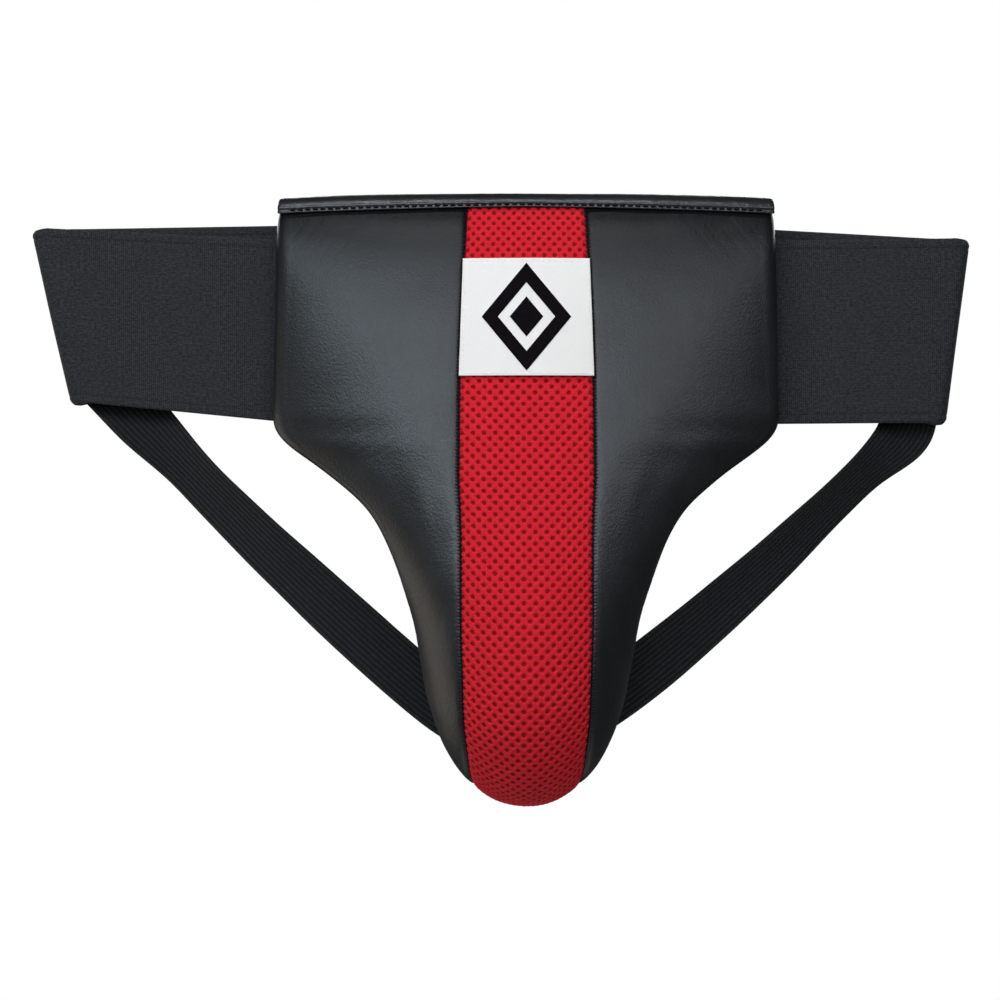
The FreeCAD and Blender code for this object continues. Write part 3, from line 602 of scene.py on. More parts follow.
def stitch_set(name, lines, radius, sink=0.0004, body="root", thread="thread"):
    """Many stitches as one piece: each is a plump thread that dives into the cloth at both ends."""
    starts, ends, ups = (np.concatenate(parts) for parts in zip(*lines))
    middles = (starts + ends) / 2
    halves = (ends - starts) / 2
    ups = unit(ups)
    sides = unit(np.cross(unit(halves), ups))
    points = []
    for ring in STITCH_RINGS:
        girth = radius * (0.45 + 0.55 * math.sqrt(max(0, 1 - ring * ring)))
        height = radius * 0.35 - sink * ring ** 4
        for k in range(STITCH_SIDES):
            turn = 2 * math.pi * k / STITCH_SIDES
            points.append(middles + halves * ring + sides * (girth * math.cos(turn))
                          + ups * (height + girth * math.sin(turn)))
    points = np.stack(points, axis=1)
    count, each, _ = points.shape
    one = [tuple(range(STITCH_SIDES)), tuple(range(each - 1, each - 1 - STITCH_SIDES, -1))]
    for ring in range(0, each - STITCH_SIDES, STITCH_SIDES):
        one += ring_faces(ring, ring + STITCH_SIDES, STITCH_SIDES, True)
    faces = [tuple(stitch * each + corner for corner in face) for stitch in range(count) for face in one]
    return new_piece(name, points, faces, thread, thread, body=body)


def stitch_line(points, ups, pitch, length):
    """Starts, ends and ups of stitches at an even pitch along a line of points."""
    run = runs(points)
    count = max(1, int(run[-1] / pitch))
    middles = (np.arange(count) + 0.5) * run[-1] / count
    return (at_runs(middles - length / 2, run, points), at_runs(middles + length / 2, run, points),
            at_runs(middles, run, ups))


def stitch_row(surface, first, second, extra, pitch, length):
    """Stitches along a row of places on a surface, whose points are surface(first, second, extra)."""
    first, second = np.broadcast_arrays(first, second)
    line = surface(first, second, extra)
    return stitch_line(line, surface(first, second, extra + 0.001) - line, pitch, length)


PUFF_PRESSURE = 6.0
PUFF_CAP = 0.0042
PUFF_FRAMES = 20
SMOOTH_PASSES = 10


def puff(points, facing, held):
    """Blows a grid of cloth up along its facing with Blender's Cloth while the held points stay.
    Returns the grid, moved along its facing by PUFF_CAP at most."""
    rows, columns, _ = points.shape
    mesh = bpy.data.meshes.new("puff")
    turned = bool((normals(points) * facing).sum() > 0)
    mesh.from_pydata(points.reshape(-1, 3).tolist(), [], grid_faces(rows, columns, flip=turned))
    cloth = bpy.data.objects.new("puff", mesh)
    bpy.context.scene.collection.objects.link(cloth)
    group = cloth.vertex_groups.new(name="held")
    for share in np.unique(held):
        if share > 0:
            group.add(np.flatnonzero(held.ravel() == share).tolist(), float(share), "REPLACE")
    modifier = cloth.modifiers.new("cloth", "CLOTH")
    settings = dict(vertex_group_mass="held", quality=5, tension_stiffness=25, compression_stiffness=25,
                    shear_stiffness=12, bending_stiffness=2.0, use_pressure=True,
                    uniform_pressure_force=PUFF_PRESSURE)
    for key, value in settings.items():
        setattr(modifier.settings, key, value)
    modifier.settings.effector_weights.gravity = 0
    modifier.collision_settings.use_collision = False
    modifier.point_cache.frame_end = PUFF_FRAMES
    for step in range(1, PUFF_FRAMES + 1):
        bpy.context.scene.frame_set(step)
    done = cloth.evaluated_get(bpy.context.evaluated_depsgraph_get())
    moved = np.zeros(rows * columns * 3, np.float32)
    done.data.vertices.foreach_get("co", moved)
    moved = moved.reshape(rows, columns, 3) - points
    bpy.data.objects.remove(cloth)
    bpy.data.meshes.remove(mesh)
    bpy.context.scene.frame_set(1)
    outward = (moved * facing).sum(axis=-1)
    outward = np.where(held > 0, 0, PUFF_CAP * np.tanh(np.maximum(outward, 0) / PUFF_CAP))
    for _ in range(SMOOTH_PASSES):
        rim = np.pad(outward, 1, mode="edge")
        beside = rim[:-2, 1:-1] + rim[2:, 1:-1] + rim[1:-1, :-2] + rim[1:-1, 2:]
        outward = np.where(held > 0, 0, (outward + beside / 4) / 2)
    return points + facing * outward[..., None]


# ---- padded wings

WING_DIP = 0.0014
TICK_LENGTH = 0.0020
# length over which the painted shade below the binding fades out
TOP_SHADE_FADE = 0.030
WING_ROWS = 560
WING_COLUMNS = 156
# rows of the cloth that is blown up, and its columns on the front, round the edge and on the back
COARSE_ROWS = 104
COARSE_COLUMNS = (24, 7, 3)


def wing_grid(side, alongs, front_columns, edge_columns, wrap_columns):
    """Leather of one wing at the middle of its swell: front, rounded edge, and the turn onto the back."""
    half = SECTION_LINE(alongs)[:, 3]
    lift = thickness(alongs) / 2
    start = seam_place(alongs, -0.0002)
    eased = np.linspace(0, 1, front_columns, endpoint=False) ** 0.85
    columns = [(start + (1 - start) * share, 0) for share in eased]
    columns += [(1, turn) for turn in np.linspace(0, 180, edge_columns)]
    columns += [(1 - LEATHER_WRAP / half * share, 180) for share in np.linspace(0, 1, wrap_columns + 1)[1:]]
    return np.stack([guard(alongs, side * across, lift, turn) for across, turn in columns], axis=1)


def closed_tail(surface, facing, thick_row):
    """Adds rows that round the guard's tail end over toward its middle layer."""
    on = unit(surface[-1] - surface[-2])
    angles = np.radians([25, 50, 75, 90])[:, None, None]
    rows = surface[-1] + thick_row * (on * np.sin(angles) - facing[-1] * (1 - np.cos(angles)))
    return np.concatenate([surface, rows])


def make_wing(side, name):
    """One leather panel: swelled over the foam, tucked in at its seam and under the binding, with painted
    shade darkening it along its top edge.
    """
    coarse = wing_grid(side, even_alongs(COARSE_ROWS), *COARSE_COLUMNS)
    held = np.zeros(coarse.shape[:2])
    held[:, 0] = 1
    held[:, -COARSE_COLUMNS[2]:] = 1
    held[:2] = 1
    held[-1] = 1
    surface = finer(puff(coarse, normals(coarse) * side, held), WING_ROWS, WING_COLUMNS)
    run = np.linspace(0, front_run(TAIL_END), WING_ROWS)[:, None]
    # distance from the seam, measured over the leather
    from_seam = runs(surface.transpose(1, 0, 2)).T
    relief = (-WING_DIP * np.exp(-from_seam / WING_DIP)
              + 0.00007 * np.sin(2 * math.pi * run / 0.0038) * np.exp(-from_seam / 0.0025)
              + 0.00018 * ripple(run, from_seam, 0.045, 11 + side)
              + 0.00006 * ripple(run, from_seam * 1.5, 0.016, 21 + side) * np.exp(-from_seam / 0.02)
              - 0.0009 * bell(run, 0, 0.006)
              + 0.00006 * ripple(from_seam, run * 0.5, 0.010, 25 + side) * bell(run, 0.005, 0.007)
              + creases(surface, side))
    relief = relief * smooth_step(from_seam[:, -1:] - from_seam, 0, 0.012)
    surface = surface + normals(surface) * side * relief[..., None]
    beside_seam = np.array([at_runs([TICK_LENGTH], *row)[0] for row in zip(from_seam, surface)])
    surface = closed_tail(surface, normals(surface) * side, float(thickness(TAIL_END)) / 2 - 0.0006)
    inner = surface - normals(surface) * side * SKIN
    # painted shade: strongest at the binding, fading down the panel
    painted_top_shade = np.exp(-np.linspace(0, 1, len(surface)) * run[-1] / TOP_SHADE_FADE)
    panel = slab("%s_leather_panel_skin" % name, surface, inner, "leather", "panel_leather",
                 marks={"painted_top_shade": np.broadcast_to(painted_top_shade[:, None], surface.shape[:2])})
    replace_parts(panel, "%s_leather_panel" % name)
    return run[:, 0], beside_seam


def creases(surface, side):
    """Fine pulls in the leather: slanting from the upper outer corner, and level ones at the narrow part."""
    x = surface[..., 0] * side
    z = surface[..., 2]
    total = np.zeros(x.shape)
    for step in range(5):
        line = (x - 0.126 + 0.008 * step) * 0.8 + (z - 0.050) * 0.62
        near = bell(x, 0.124 - 0.006 * step, 0.014) * bell(z, 0.047, 0.012)
        total -= 0.00010 * bell(line, 0, 0.0008) * near
    for step in range(7):
        level = -0.132 - 0.0075 * step + 0.0012 * math.sin(2.4 * step)
        slope = 0.10 * (step % 3 - 1)
        line = z - level - slope * (x - 0.055)
        reach = smooth_step(x, 0.040, 0.060)
        total -= (0.00006 + 0.00004 * (step % 2)) * bell(line, 0, 0.0009) * reach
    for step in range(6):
        line = z + 0.070 + 0.55 * (x - 0.110) + 0.006 * (step - 2)
        total -= 0.00006 * bell(line, 0, 0.0010) * bell(x, 0.104 - 0.005 * step, 0.012)
    return total


# ---- air-mesh centre panel

HOLE_ROW = 0.0032
HALF_CELLS = 12
CELL_POINTS = 6
PIT_DEPTH = 0.0009


def mesh_crown(along):
    height = SECTION_LINE(along)[..., 0]
    return MESH_PROUD * smooth_step(-height, -0.058, -0.044)


def nearest_pit(x, y):
    """Offsets from the nearest pit of a staggered pattern, in cells."""
    near_x, near_y = np.round(x) + 0 * y, np.round(y) + 0 * x
    off_x, off_y = x - near_x, y - near_y
    empty = (near_x + near_y) % 2 == 1
    beside = np.abs(off_x) > np.abs(off_y)
    off_x = np.where(empty & beside, off_x - np.sign(off_x), off_x)
    off_y = np.where(empty & ~beside, off_y - np.sign(off_y + 1e-9), off_y)
    return off_x, off_y


def make_centre():
    """Knitted spacer mesh with staggered rows of pits, sunk along both seams."""
    length = float(front_run(TAIL_END))
    alongs = even_alongs(int(length / HOLE_ROW) * CELL_POINTS + 1)
    phase = np.arange(2 * HALF_CELLS * CELL_POINTS + 1) / CELL_POINTS
    across_share = (phase / HALF_CELLS - 1)[None, :]
    run = front_run(alongs)[:, None]
    # the seam pulls the mesh in between its stitches
    scallop = 0.5 + 0.5 * np.cos(2 * math.pi * run / HOLE_ROW)
    edge = seam_place(alongs[:, None], -0.0002 - 0.0005 * scallop)
    across = edge * across_share
    down = np.arange(len(alongs))[:, None] / CELL_POINTS
    # every pit sits in every second cell, shifted by one cell from row to row
    off_x, off_y = nearest_pit(phase[None, :] - 0.5, down - 0.5)
    pit = 1 - smooth_step(np.hypot(off_x / 0.62, off_y / 0.54), 0.35, 1.0)
    # the knitted cords swell between the pits
    swell = 0.00018 * np.cos(math.pi * off_x) * np.cos(2 * math.pi * off_y)
    to_edge = 1 - np.abs(across_share)
    lift = (thickness(alongs)[:, None] / 2 + mesh_crown(alongs)[:, None] * np.cos(math.pi / 2 * across_share)
            - 0.0022 * np.exp(-to_edge / 0.035) + 0.0003 * (1 - 2 * scallop) * np.exp(-to_edge / 0.05)
            + 0.00025 * ripple(run, across_share * 0.035, 0.05, 5) - 0.0006 * bell(run, 0, 0.008))
    quiet = smooth_step(to_edge, 0.0, 0.06)
    outer = guard(alongs[:, None], across, lift + swell * quiet - PIT_DEPTH * pit * quiet)
    inner = guard(alongs[:, None], across, lift - MESH_THICK)
    outer = closed_tail(outer, normals(outer), float(thickness(TAIL_END)) / 2 - 0.0004)
    inner = np.concatenate([inner, np.repeat(inner[-1:], 4, axis=0) + (outer[-4:] - outer[-5:-4]) * 0.5])
    run = np.concatenate([run, run[-1:] + 0.001 * np.arange(1, 5)[:, None]])
    lengths = np.stack(np.broadcast_arrays(runs(outer[200])[None, :], run), axis=-1)
    # the pit mark also paints the shade inside the pits into the mesh colour
    marks = {"pit": np.concatenate([pit, np.zeros((4, pit.shape[1]))])}
    panel = slab("centre_mesh_cloth", outer, inner, "mesh", "air_mesh", lengths=lengths, marks=marks)
    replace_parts(panel, "centre_mesh_panel")


# ---- seams and binding

TICK_PITCH = 0.0019
SEAM_RADIUS = 0.0005
BINDING_STITCH_PITCH = 0.0042
BINDING_STITCH = 0.0029
BINDING_LOW_TURN = -6
END_REACH = 0.0056


def make_seam(side, name, wing_run, beside_seam):
    """The sewn joint beside the centre panel: a cord in the valley and thread ticks across it."""
    alongs = even_alongs(440, start=along_at_height(0.0635))
    valley = thickness(alongs) / 2 - 0.0016
    middle = guard(alongs, side * seam_place(alongs), valley)
    outward = unit(guard(alongs, side * seam_place(alongs), valley + 0.001) - middle)
    sideways = unit(guard(alongs, side * seam_place(alongs, 0.001), valley) - middle)
    turns = np.linspace(0, 2 * math.pi, 8, endpoint=False)[None, :, None]
    run = front_run(alongs)
    girth = SEAM_RADIUS * (1 + 0.18 * np.sin(2 * math.pi * run / TICK_PITCH))[:, None, None]
    rings = middle[:, None] + girth * (sideways[:, None] * np.cos(turns) + outward[:, None] * np.sin(turns))
    rows, columns, _ = rings.shape
    last = (rows - 1) * columns
    faces = [tuple(range(columns))[::-1], tuple(range(last, last + columns))]
    for first in range(0, last, columns):
        faces += ring_faces(first, first + columns, columns)
    cord = new_piece("%s_seam_cord" % name, rings, faces, "thread", "thread")
    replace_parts(cord, "%s_panel_seam" % name)

    leather_side = at_runs(run, wing_run, beside_seam)
    mesh_side = guard(alongs, side * seam_place(alongs, -0.0003), thickness(alongs) / 2 - 0.0014)
    count = int(run[-1] / TICK_PITCH) - int(run[0] / TICK_PITCH)
    places = np.linspace(run[0] + 0.001, run[-1] - 0.001, count)
    leather_end, mesh_end, spine, ups = (at_runs(places, run, line)
                                         for line in (leather_side, mesh_side, middle, outward))
    step_down = np.gradient(spine, axis=0) * 0.18
    ticks = (leather_end - step_down, mesh_end + step_down, ups)
    stitch_set("%s_seam_ticks" % name, [ticks], 0.00028, 0.0003)


def binding_ring(across, reach, turns):
    """Points around the guard's top edge, over it from the front (turn 0) to the back (turn 180)."""
    front, back = guard(0, across, 0.001), guard(0, across, -0.001)
    middle = (front + back) / 2
    radians = np.radians(turns)
    low_roll = (0.80 - 0.14 * np.abs(across) ** 4)[:, None]
    drop = (0.0005 + 0.0028 * np.abs(across) ** 1.3)[:, None] * (1 - np.maximum(np.sin(radians), 0))
    return (middle[:, None] + unit(front - back)[:, None] * (reach * np.cos(radians))[..., None]
            + np.array([0, 0, 1]) * (reach * low_roll * np.sin(radians) - drop)[..., None])


def make_binding():
    """Leather strip rolled over the top edge, its two lips sewn down by one line of stitches."""
    across = np.linspace(-1, 1, 420)
    turns = np.linspace(BINDING_LOW_TURN, 180 - BINDING_LOW_TURN, 41)
    base = float(thickness(0)) / 2 + 0.0019
    from_lip = (np.radians(np.minimum(turns - turns[0], turns[-1] - turns)) * base)[None, :]
    run = (across * runs(guard(0, across, 0))[-1] / 2)[:, None]
    reach = (base + 0.0005 * smooth_step(from_lip, 0, 0.0009) - 0.0004 * bell(from_lip, 0, 0.0004)
             - 0.0009 * bell(from_lip, 0.0018, 0.0008)
             - 0.00007 * np.cos(2 * math.pi * run / BINDING_STITCH_PITCH) * bell(from_lip, 0.0019, 0.0016)
             + 0.00022 * ripple(run, from_lip, 0.06, 31) + 0.00005 * ripple(run, from_lip * 3, 0.009, 32))

    def with_ends(extra):
        """The roll with both its ends rounded off bluntly."""
        body = binding_ring(across, reach + extra, turns)
        ends = []
        for end, beside in ((0, 1), (-1, -2)):
            on = unit((body[end] - body[beside]).mean(axis=0))
            centre = body[end].mean(axis=0)
            ends.append([centre + (body[end] - centre) * (1 - share ** 14) ** 0.4 + on * (END_REACH * share)
                         for share in (0.35, 0.7, 0.86, 0.95, 0.995)])
        return np.concatenate([ends[0][::-1], body, ends[1]])

    strip = slab("top_binding_strip", with_ends(0), with_ends(-0.0013), "binding", "binding_leather")
    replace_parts(strip, "top_binding")

    def lip(place, turn, extra):
        return binding_ring(place, base + extra * np.ones((len(place), 1)), turn[:1])[:, 0]

    low_turn = BINDING_LOW_TURN + math.degrees(0.0018 / base)
    places = np.linspace(-0.985, 0.985, 200)
    lines = [stitch_row(lip, places, at, 0.00012, BINDING_STITCH_PITCH, BINDING_STITCH)
             for at in (low_turn, 180 - low_turn)]
    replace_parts(stitch_set("binding_thread", lines, 0.00055), "binding_stitching")


# ---- label

LABEL_HALF = 0.0346
LABEL_LOW = -0.0293
LABEL_HIGH = 0.035
LABEL_THICK = 0.0009
LABEL_LIFT = 0.0013
LABEL_INSET = 0.0016
LABEL_STITCHES = (0.0030, 0.0019)
LABEL_ALONGS = np.linspace(0, 8, 801)


def label_points(x, height, extra):
    """Points of the label's face at x and height, raised by extra."""
    along = np.interp(-height, -SECTION_LINE(LABEL_ALONGS)[:, 0], LABEL_ALONGS)
    across = place_of_x(along, x)
    crown = mesh_crown(along) * np.cos(math.pi / 2 * np.minimum(1, np.abs(across) / seam_place(along)))
    sag = 0.00025 * ripple(x, height, 0.05, 41)
    return guard(along, across, thickness(along) / 2 + crown + LABEL_LIFT + sag + extra)


def make_label():
    """A woven label sewn over the centre panel, with a plain geometric mark."""
    middle = (LABEL_LOW + LABEL_HIGH) / 2
    half_height = (LABEL_HIGH - LABEL_LOW) / 2
    x, z = (np.concatenate([[-1, -0.993, -0.985], np.linspace(-0.97, 0.97, count), [0.985, 0.993, 1]])
            for count in (61, 55))
    x, z = np.meshgrid(x * LABEL_HALF, middle - z * half_height)
    taper = 1 + 0.022 * (middle - z) / half_height
    to_edge = np.minimum(LABEL_HALF - np.abs(x), half_height - np.abs(z - middle))
    rounding = 0.0003 * (1 - smooth_step(to_edge, 0, 0.0005))
    face, back = (label_points(x * taper, z, extra) for extra in (LABEL_THICK - rounding, 0))
    patch = slab("label_cloth", face, back, "label", "label")
    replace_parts(patch, "label_patch")

    xs, zs = (np.linspace(low + 0.003, high - 0.003, 60)
              for low, high in ((-LABEL_HALF, LABEL_HALF), (LABEL_LOW, LABEL_HIGH)))
    rows = [(xs, height) for height in (LABEL_HIGH - LABEL_INSET, LABEL_LOW + LABEL_INSET)]
    rows += [(edge * (LABEL_HALF - LABEL_INSET), zs) for edge in (-1, 1)]
    lines = [stitch_row(label_points, x, z, LABEL_THICK, *LABEL_STITCHES) for x, z in rows]
    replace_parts(stitch_set("label_thread", lines, 0.00026, 0.0003, thread="light_thread"), "label_stitching")

    make_mark("label_mark_ring", middle, (0.0235, 0.0295), (0.0150, 0.0188))
    make_mark("label_mark_core", middle, (0.0088, 0.0110), (0.00001, 0.00001))


def make_mark(name, middle, outer_size, inner_size):
    """A flat diamond ring, printed thickly on the label."""
    rings, per_side = 6, 14
    turns = np.linspace(0, 4, 4 * per_side, endpoint=False)
    corner = turns.astype(int)
    share = (turns - corner)[:, None]
    tips = np.array([(1, 0), (0, 1), (-1, 0), (0, -1), (1, 0)])
    shape = tips[corner] * (1 - share) + tips[corner + 1] * share
    count = len(shape)
    points = []
    for extra in (LABEL_THICK + 0.00025, LABEL_THICK - 0.0001):
        for blend in np.linspace(0, 1, rings):
            half_x, half_z = np.array(outer_size) * (1 - blend) + np.array(inner_size) * blend
            points.append(label_points(shape[:, 0] * half_x, middle + shape[:, 1] * half_z, extra))
    pairs = [(0, rings, False), (rings - 1, 2 * rings - 1, True)]
    for step in range(rings - 1):
        pairs += [(step, step + 1, True), (rings + step, rings + step + 1, False)]
    faces = [face for first, second, flip in pairs
             for face in ring_faces(first * count, second * count, count, flip)]
    new_piece(name, np.concatenate(points), faces, "mark", "label")


# ---- back lining with its cup pocket

POCKET_HIGH = along_at_height(-0.106)
POCKET_LOW = 19.2
LINING_TUCK = 0.0002
QUILT_PITCH = 0.026
LINING_STITCHES = (0.0036, 0.0024)
HEM_STITCHES = (0.0034, 0.0022)


def pocket(along, across):
    """How far the lining stands off to make room for the cup."""
    down = smooth_step(along, POCKET_HIGH - 1.6, POCKET_HIGH - 0.2)
    up = 1 - smooth_step(along, POCKET_LOW + 0.1, POCKET_LOW + 1.6)
    return CUP_ROOM * down * up * (1 - smooth_step(np.abs(across), 0.7, 0.9))


def back_points(along, across, extra):
    return guard(along, across, thickness(along) / 2 + extra, 180)


def lining_points(along, across, extra):
    return back_points(along, across, pocket(along, across) + extra)


def make_lining():
    """Knitted lining over the back: softly quilted, with a hemmed pocket for the cup."""
    alongs = even_alongs(300, start=along_at_height(0.0645))[:, None]
    half = SECTION_LINE(alongs[:, 0])[:, 3]
    edge = (1 - (LEATHER_WRAP + LINING_TUCK) / half)[:, None]
    share = np.linspace(-1, 1, 170)[None, :]
    across = edge * share
    run = front_run(alongs)
    flat_x = share * half[:, None]
    first, second = (np.abs(np.sin(math.pi * line / QUILT_PITCH)) for line in (flat_x + run, flat_x - run))
    quilt = first * second
    soft = 0.0009 * (quilt ** 0.35 - 1)
    outside_pocket = 1 - smooth_step(pocket(alongs, across), 0.0, 0.002)
    hem = 0.0009 * smooth_step(0.0065 - np.abs(run - float(front_run(POCKET_HIGH - 0.6))), 0, 0.0012)
    hem = hem * smooth_step(0.052 - np.abs(flat_x), 0, 0.003)
    to_edge = (1 - np.abs(share)) * half[:, None]
    relief = soft * outside_pocket * smooth_step(to_edge, 0.002, 0.008) + hem
    relief = relief + 0.00025 * ripple(flat_x, run, 0.05, 51) - 0.0007 * np.exp(-to_edge / 0.0018)
    outer = lining_points(alongs, across, relief)
    inner = lining_points(alongs, across, relief - SKIN)
    lining = slab("back_lining_cloth", outer, inner, "lining", "lining")
    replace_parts(lining, "back_lining")

    places = even_alongs(300, start=along_at_height(0.060), end=TAIL_END - 0.3)
    across = 1 - (LEATHER_WRAP - 0.0022) / SECTION_LINE(places)[:, 3]
    lines = [stitch_row(back_points, places, side * across, 0.0002, *LINING_STITCHES) for side in (-1, 1)]
    rows = [(POCKET_HIGH + shift, np.linspace(-0.55, 0.55, 80), 0.0009) for shift in (-0.42, -0.82)]
    rows += [(np.linspace(POCKET_HIGH - 0.2, POCKET_LOW, 160), side * 0.89, 0.0001) for side in (-1, 1)]
    lines += [stitch_row(lining_points, *row, *HEM_STITCHES) for row in rows]
    stitch_set("lining_thread", lines, 0.00036)


# ---- waistband

BAND_ROWS_FRONT = 70
BAND_ROWS_FOLD = 14
BAND_ROWS_REAR = 130
SELVAGE_IN = 0.005


def width_shares(width):
    """Places across a band, close together near its two edges."""
    rim = [0.0, 0.0003, 0.0007, 0.0013, 0.0022, 0.0032, 0.0040, 0.0046, 0.0050, 0.0054, 0.0060, 0.0070,
           0.0085]
    inside = np.linspace(0.0105, width - 0.0105, 36)
    return np.concatenate([rim, inside, width - np.array(rim[::-1])]) / width


def rear_depth(outward, fold_x, flat):
    """Middle of the rear half's elastic: its Y at a distance from the centre plane, bends eased."""
    middle = BAND_THICK / 2
    bow = REAR_BOW + middle
    rise = BAND_FRONT + 2 * FOLD_RADIUS + middle - bow
    total = 0
    for shift in np.linspace(-0.014, 0.014, 7):
        place = outward + shift
        total = total + np.interp(place, [REAR_STRAIGHT, REAR_BEND], [flat + middle, bow])
        total = total + rise * np.clip((place - REAR_BEND) / (fold_x - REAR_BEND), 0, 1)
    return total / 7


CORNER_RADIUS = 0.0040


def band_middle(side, fold, shares):
    """Middle layer of one side of the waistband, from behind the guard round the fold to its rear end."""
    (top_x, top_z), (low_x, low_z) = fold["top"], fold["low"]
    to_edge = np.minimum(shares, 1 - shares) * (top_z - low_z)
    rounding = CORNER_RADIUS - np.sqrt(CORNER_RADIUS ** 2 - np.maximum(CORNER_RADIUS - to_edge, 0) ** 2)
    hinge_x = low_x + (top_x - low_x) * shares - side * rounding
    lean = side * unit(np.array([top_z - low_z, low_x - top_x]))
    front_y = BAND_FRONT + BAND_THICK / 2
    rows = []

    def add_row(x, y, low, high):
        rows.append(np.stack(np.broadcast_arrays(x, y, low + (high - low) * shares), axis=1))

    for share in np.linspace(0, 1, BAND_ROWS_FRONT, endpoint=False):
        low = BAND_LOW_SIDE + (low_z - BAND_LOW_SIDE) * share
        high = BAND_TOP_SIDE + (top_z - BAND_TOP_SIDE) * share
        add_row(side * BAND_INNER + (hinge_x - side * BAND_INNER) * share, front_y, low, high)
    for angle in np.linspace(0, math.pi, BAND_ROWS_FOLD, endpoint=False):
        out = lean * (FOLD_RADIUS * math.sin(angle))
        y = front_y + FOLD_RADIUS * (1 - math.cos(angle))
        add_row(hinge_x + out[0], y, low_z + out[1], top_z + out[1])
    for share in np.linspace(0, 1, BAND_ROWS_REAR):
        x = hinge_x + (fold["end"] - hinge_x) * share
        settle = smooth_step(share, 0.0, 0.06)
        y = rear_depth(side * x, np.abs(hinge_x), fold["flat"]) * settle
        add_row(x, y + (front_y + 2 * FOLD_RADIUS) * (1 - settle), low_z + (REAR_LOW - low_z) * share,
                top_z + (REAR_TOP - top_z) * share)
    return np.array(rows)


def make_band(side, name, fold):
    """One side of the elastic waistband in a single length, soft at its edges and slightly wavy."""
    width = BAND_TOP_SIDE - BAND_LOW_SIDE
    shares = width_shares(width)
    middle = band_middle(side, fold, shares)
    run = runs(middle)
    across = np.broadcast_to(shares * width, run.shape)
    in_from_edge = np.minimum(across, width - across)
    rear = np.arange(len(middle))[:, None] > BAND_ROWS_FRONT + BAND_ROWS_FOLD
    wavy = 0.00045 * ripple(run, across, 0.11, 61 + side) * np.where(rear, 1.0, 0.8)
    wavy = wavy * smooth_step(np.minimum(run, run[-1:] - run), 0, 0.03)
    facing = normals(middle)
    middle = middle + facing * wavy[..., None]
    half = (BAND_THICK / 2 * (0.45 + 0.55 * smooth_step(in_from_edge, 0, 0.0008))
            - 0.00022 * bell(in_from_edge, SELVAGE_IN, 0.0005)
            + 0.00010 * bell(in_from_edge, 0.0030, 0.0012))[..., None]
    band = slab("waistband_%s" % name, middle + facing * half, middle - facing * half, "band",
                "waist_elastic", lengths=np.stack([run, across], axis=-1),
                marks={"selvage": bell(in_from_edge, SELVAGE_IN, 0.0006)}, ride=False)
    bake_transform(band)
    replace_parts(band, "waist_front_%s" % name, "waist_fold_%s" % name, "waist_rear_%s" % name)

    # the front half is sewn behind the guard by two lines of stitches
    paths = [[(side * (BAND_INNER + inset), z) for z in (BAND_LOW_SIDE + 0.004, BAND_TOP_SIDE - 0.004)]
             for inset in (0.003, 0.011)]
    thread_path("band_thread_%s" % name, paths, BAND_FRONT + BAND_THICK + 0.00005, 1, "root", radius=0.00038)


# ---- leg straps

RIB_COUNT = 12
RIB_POINTS = 5
STRAP_ROWS = 170


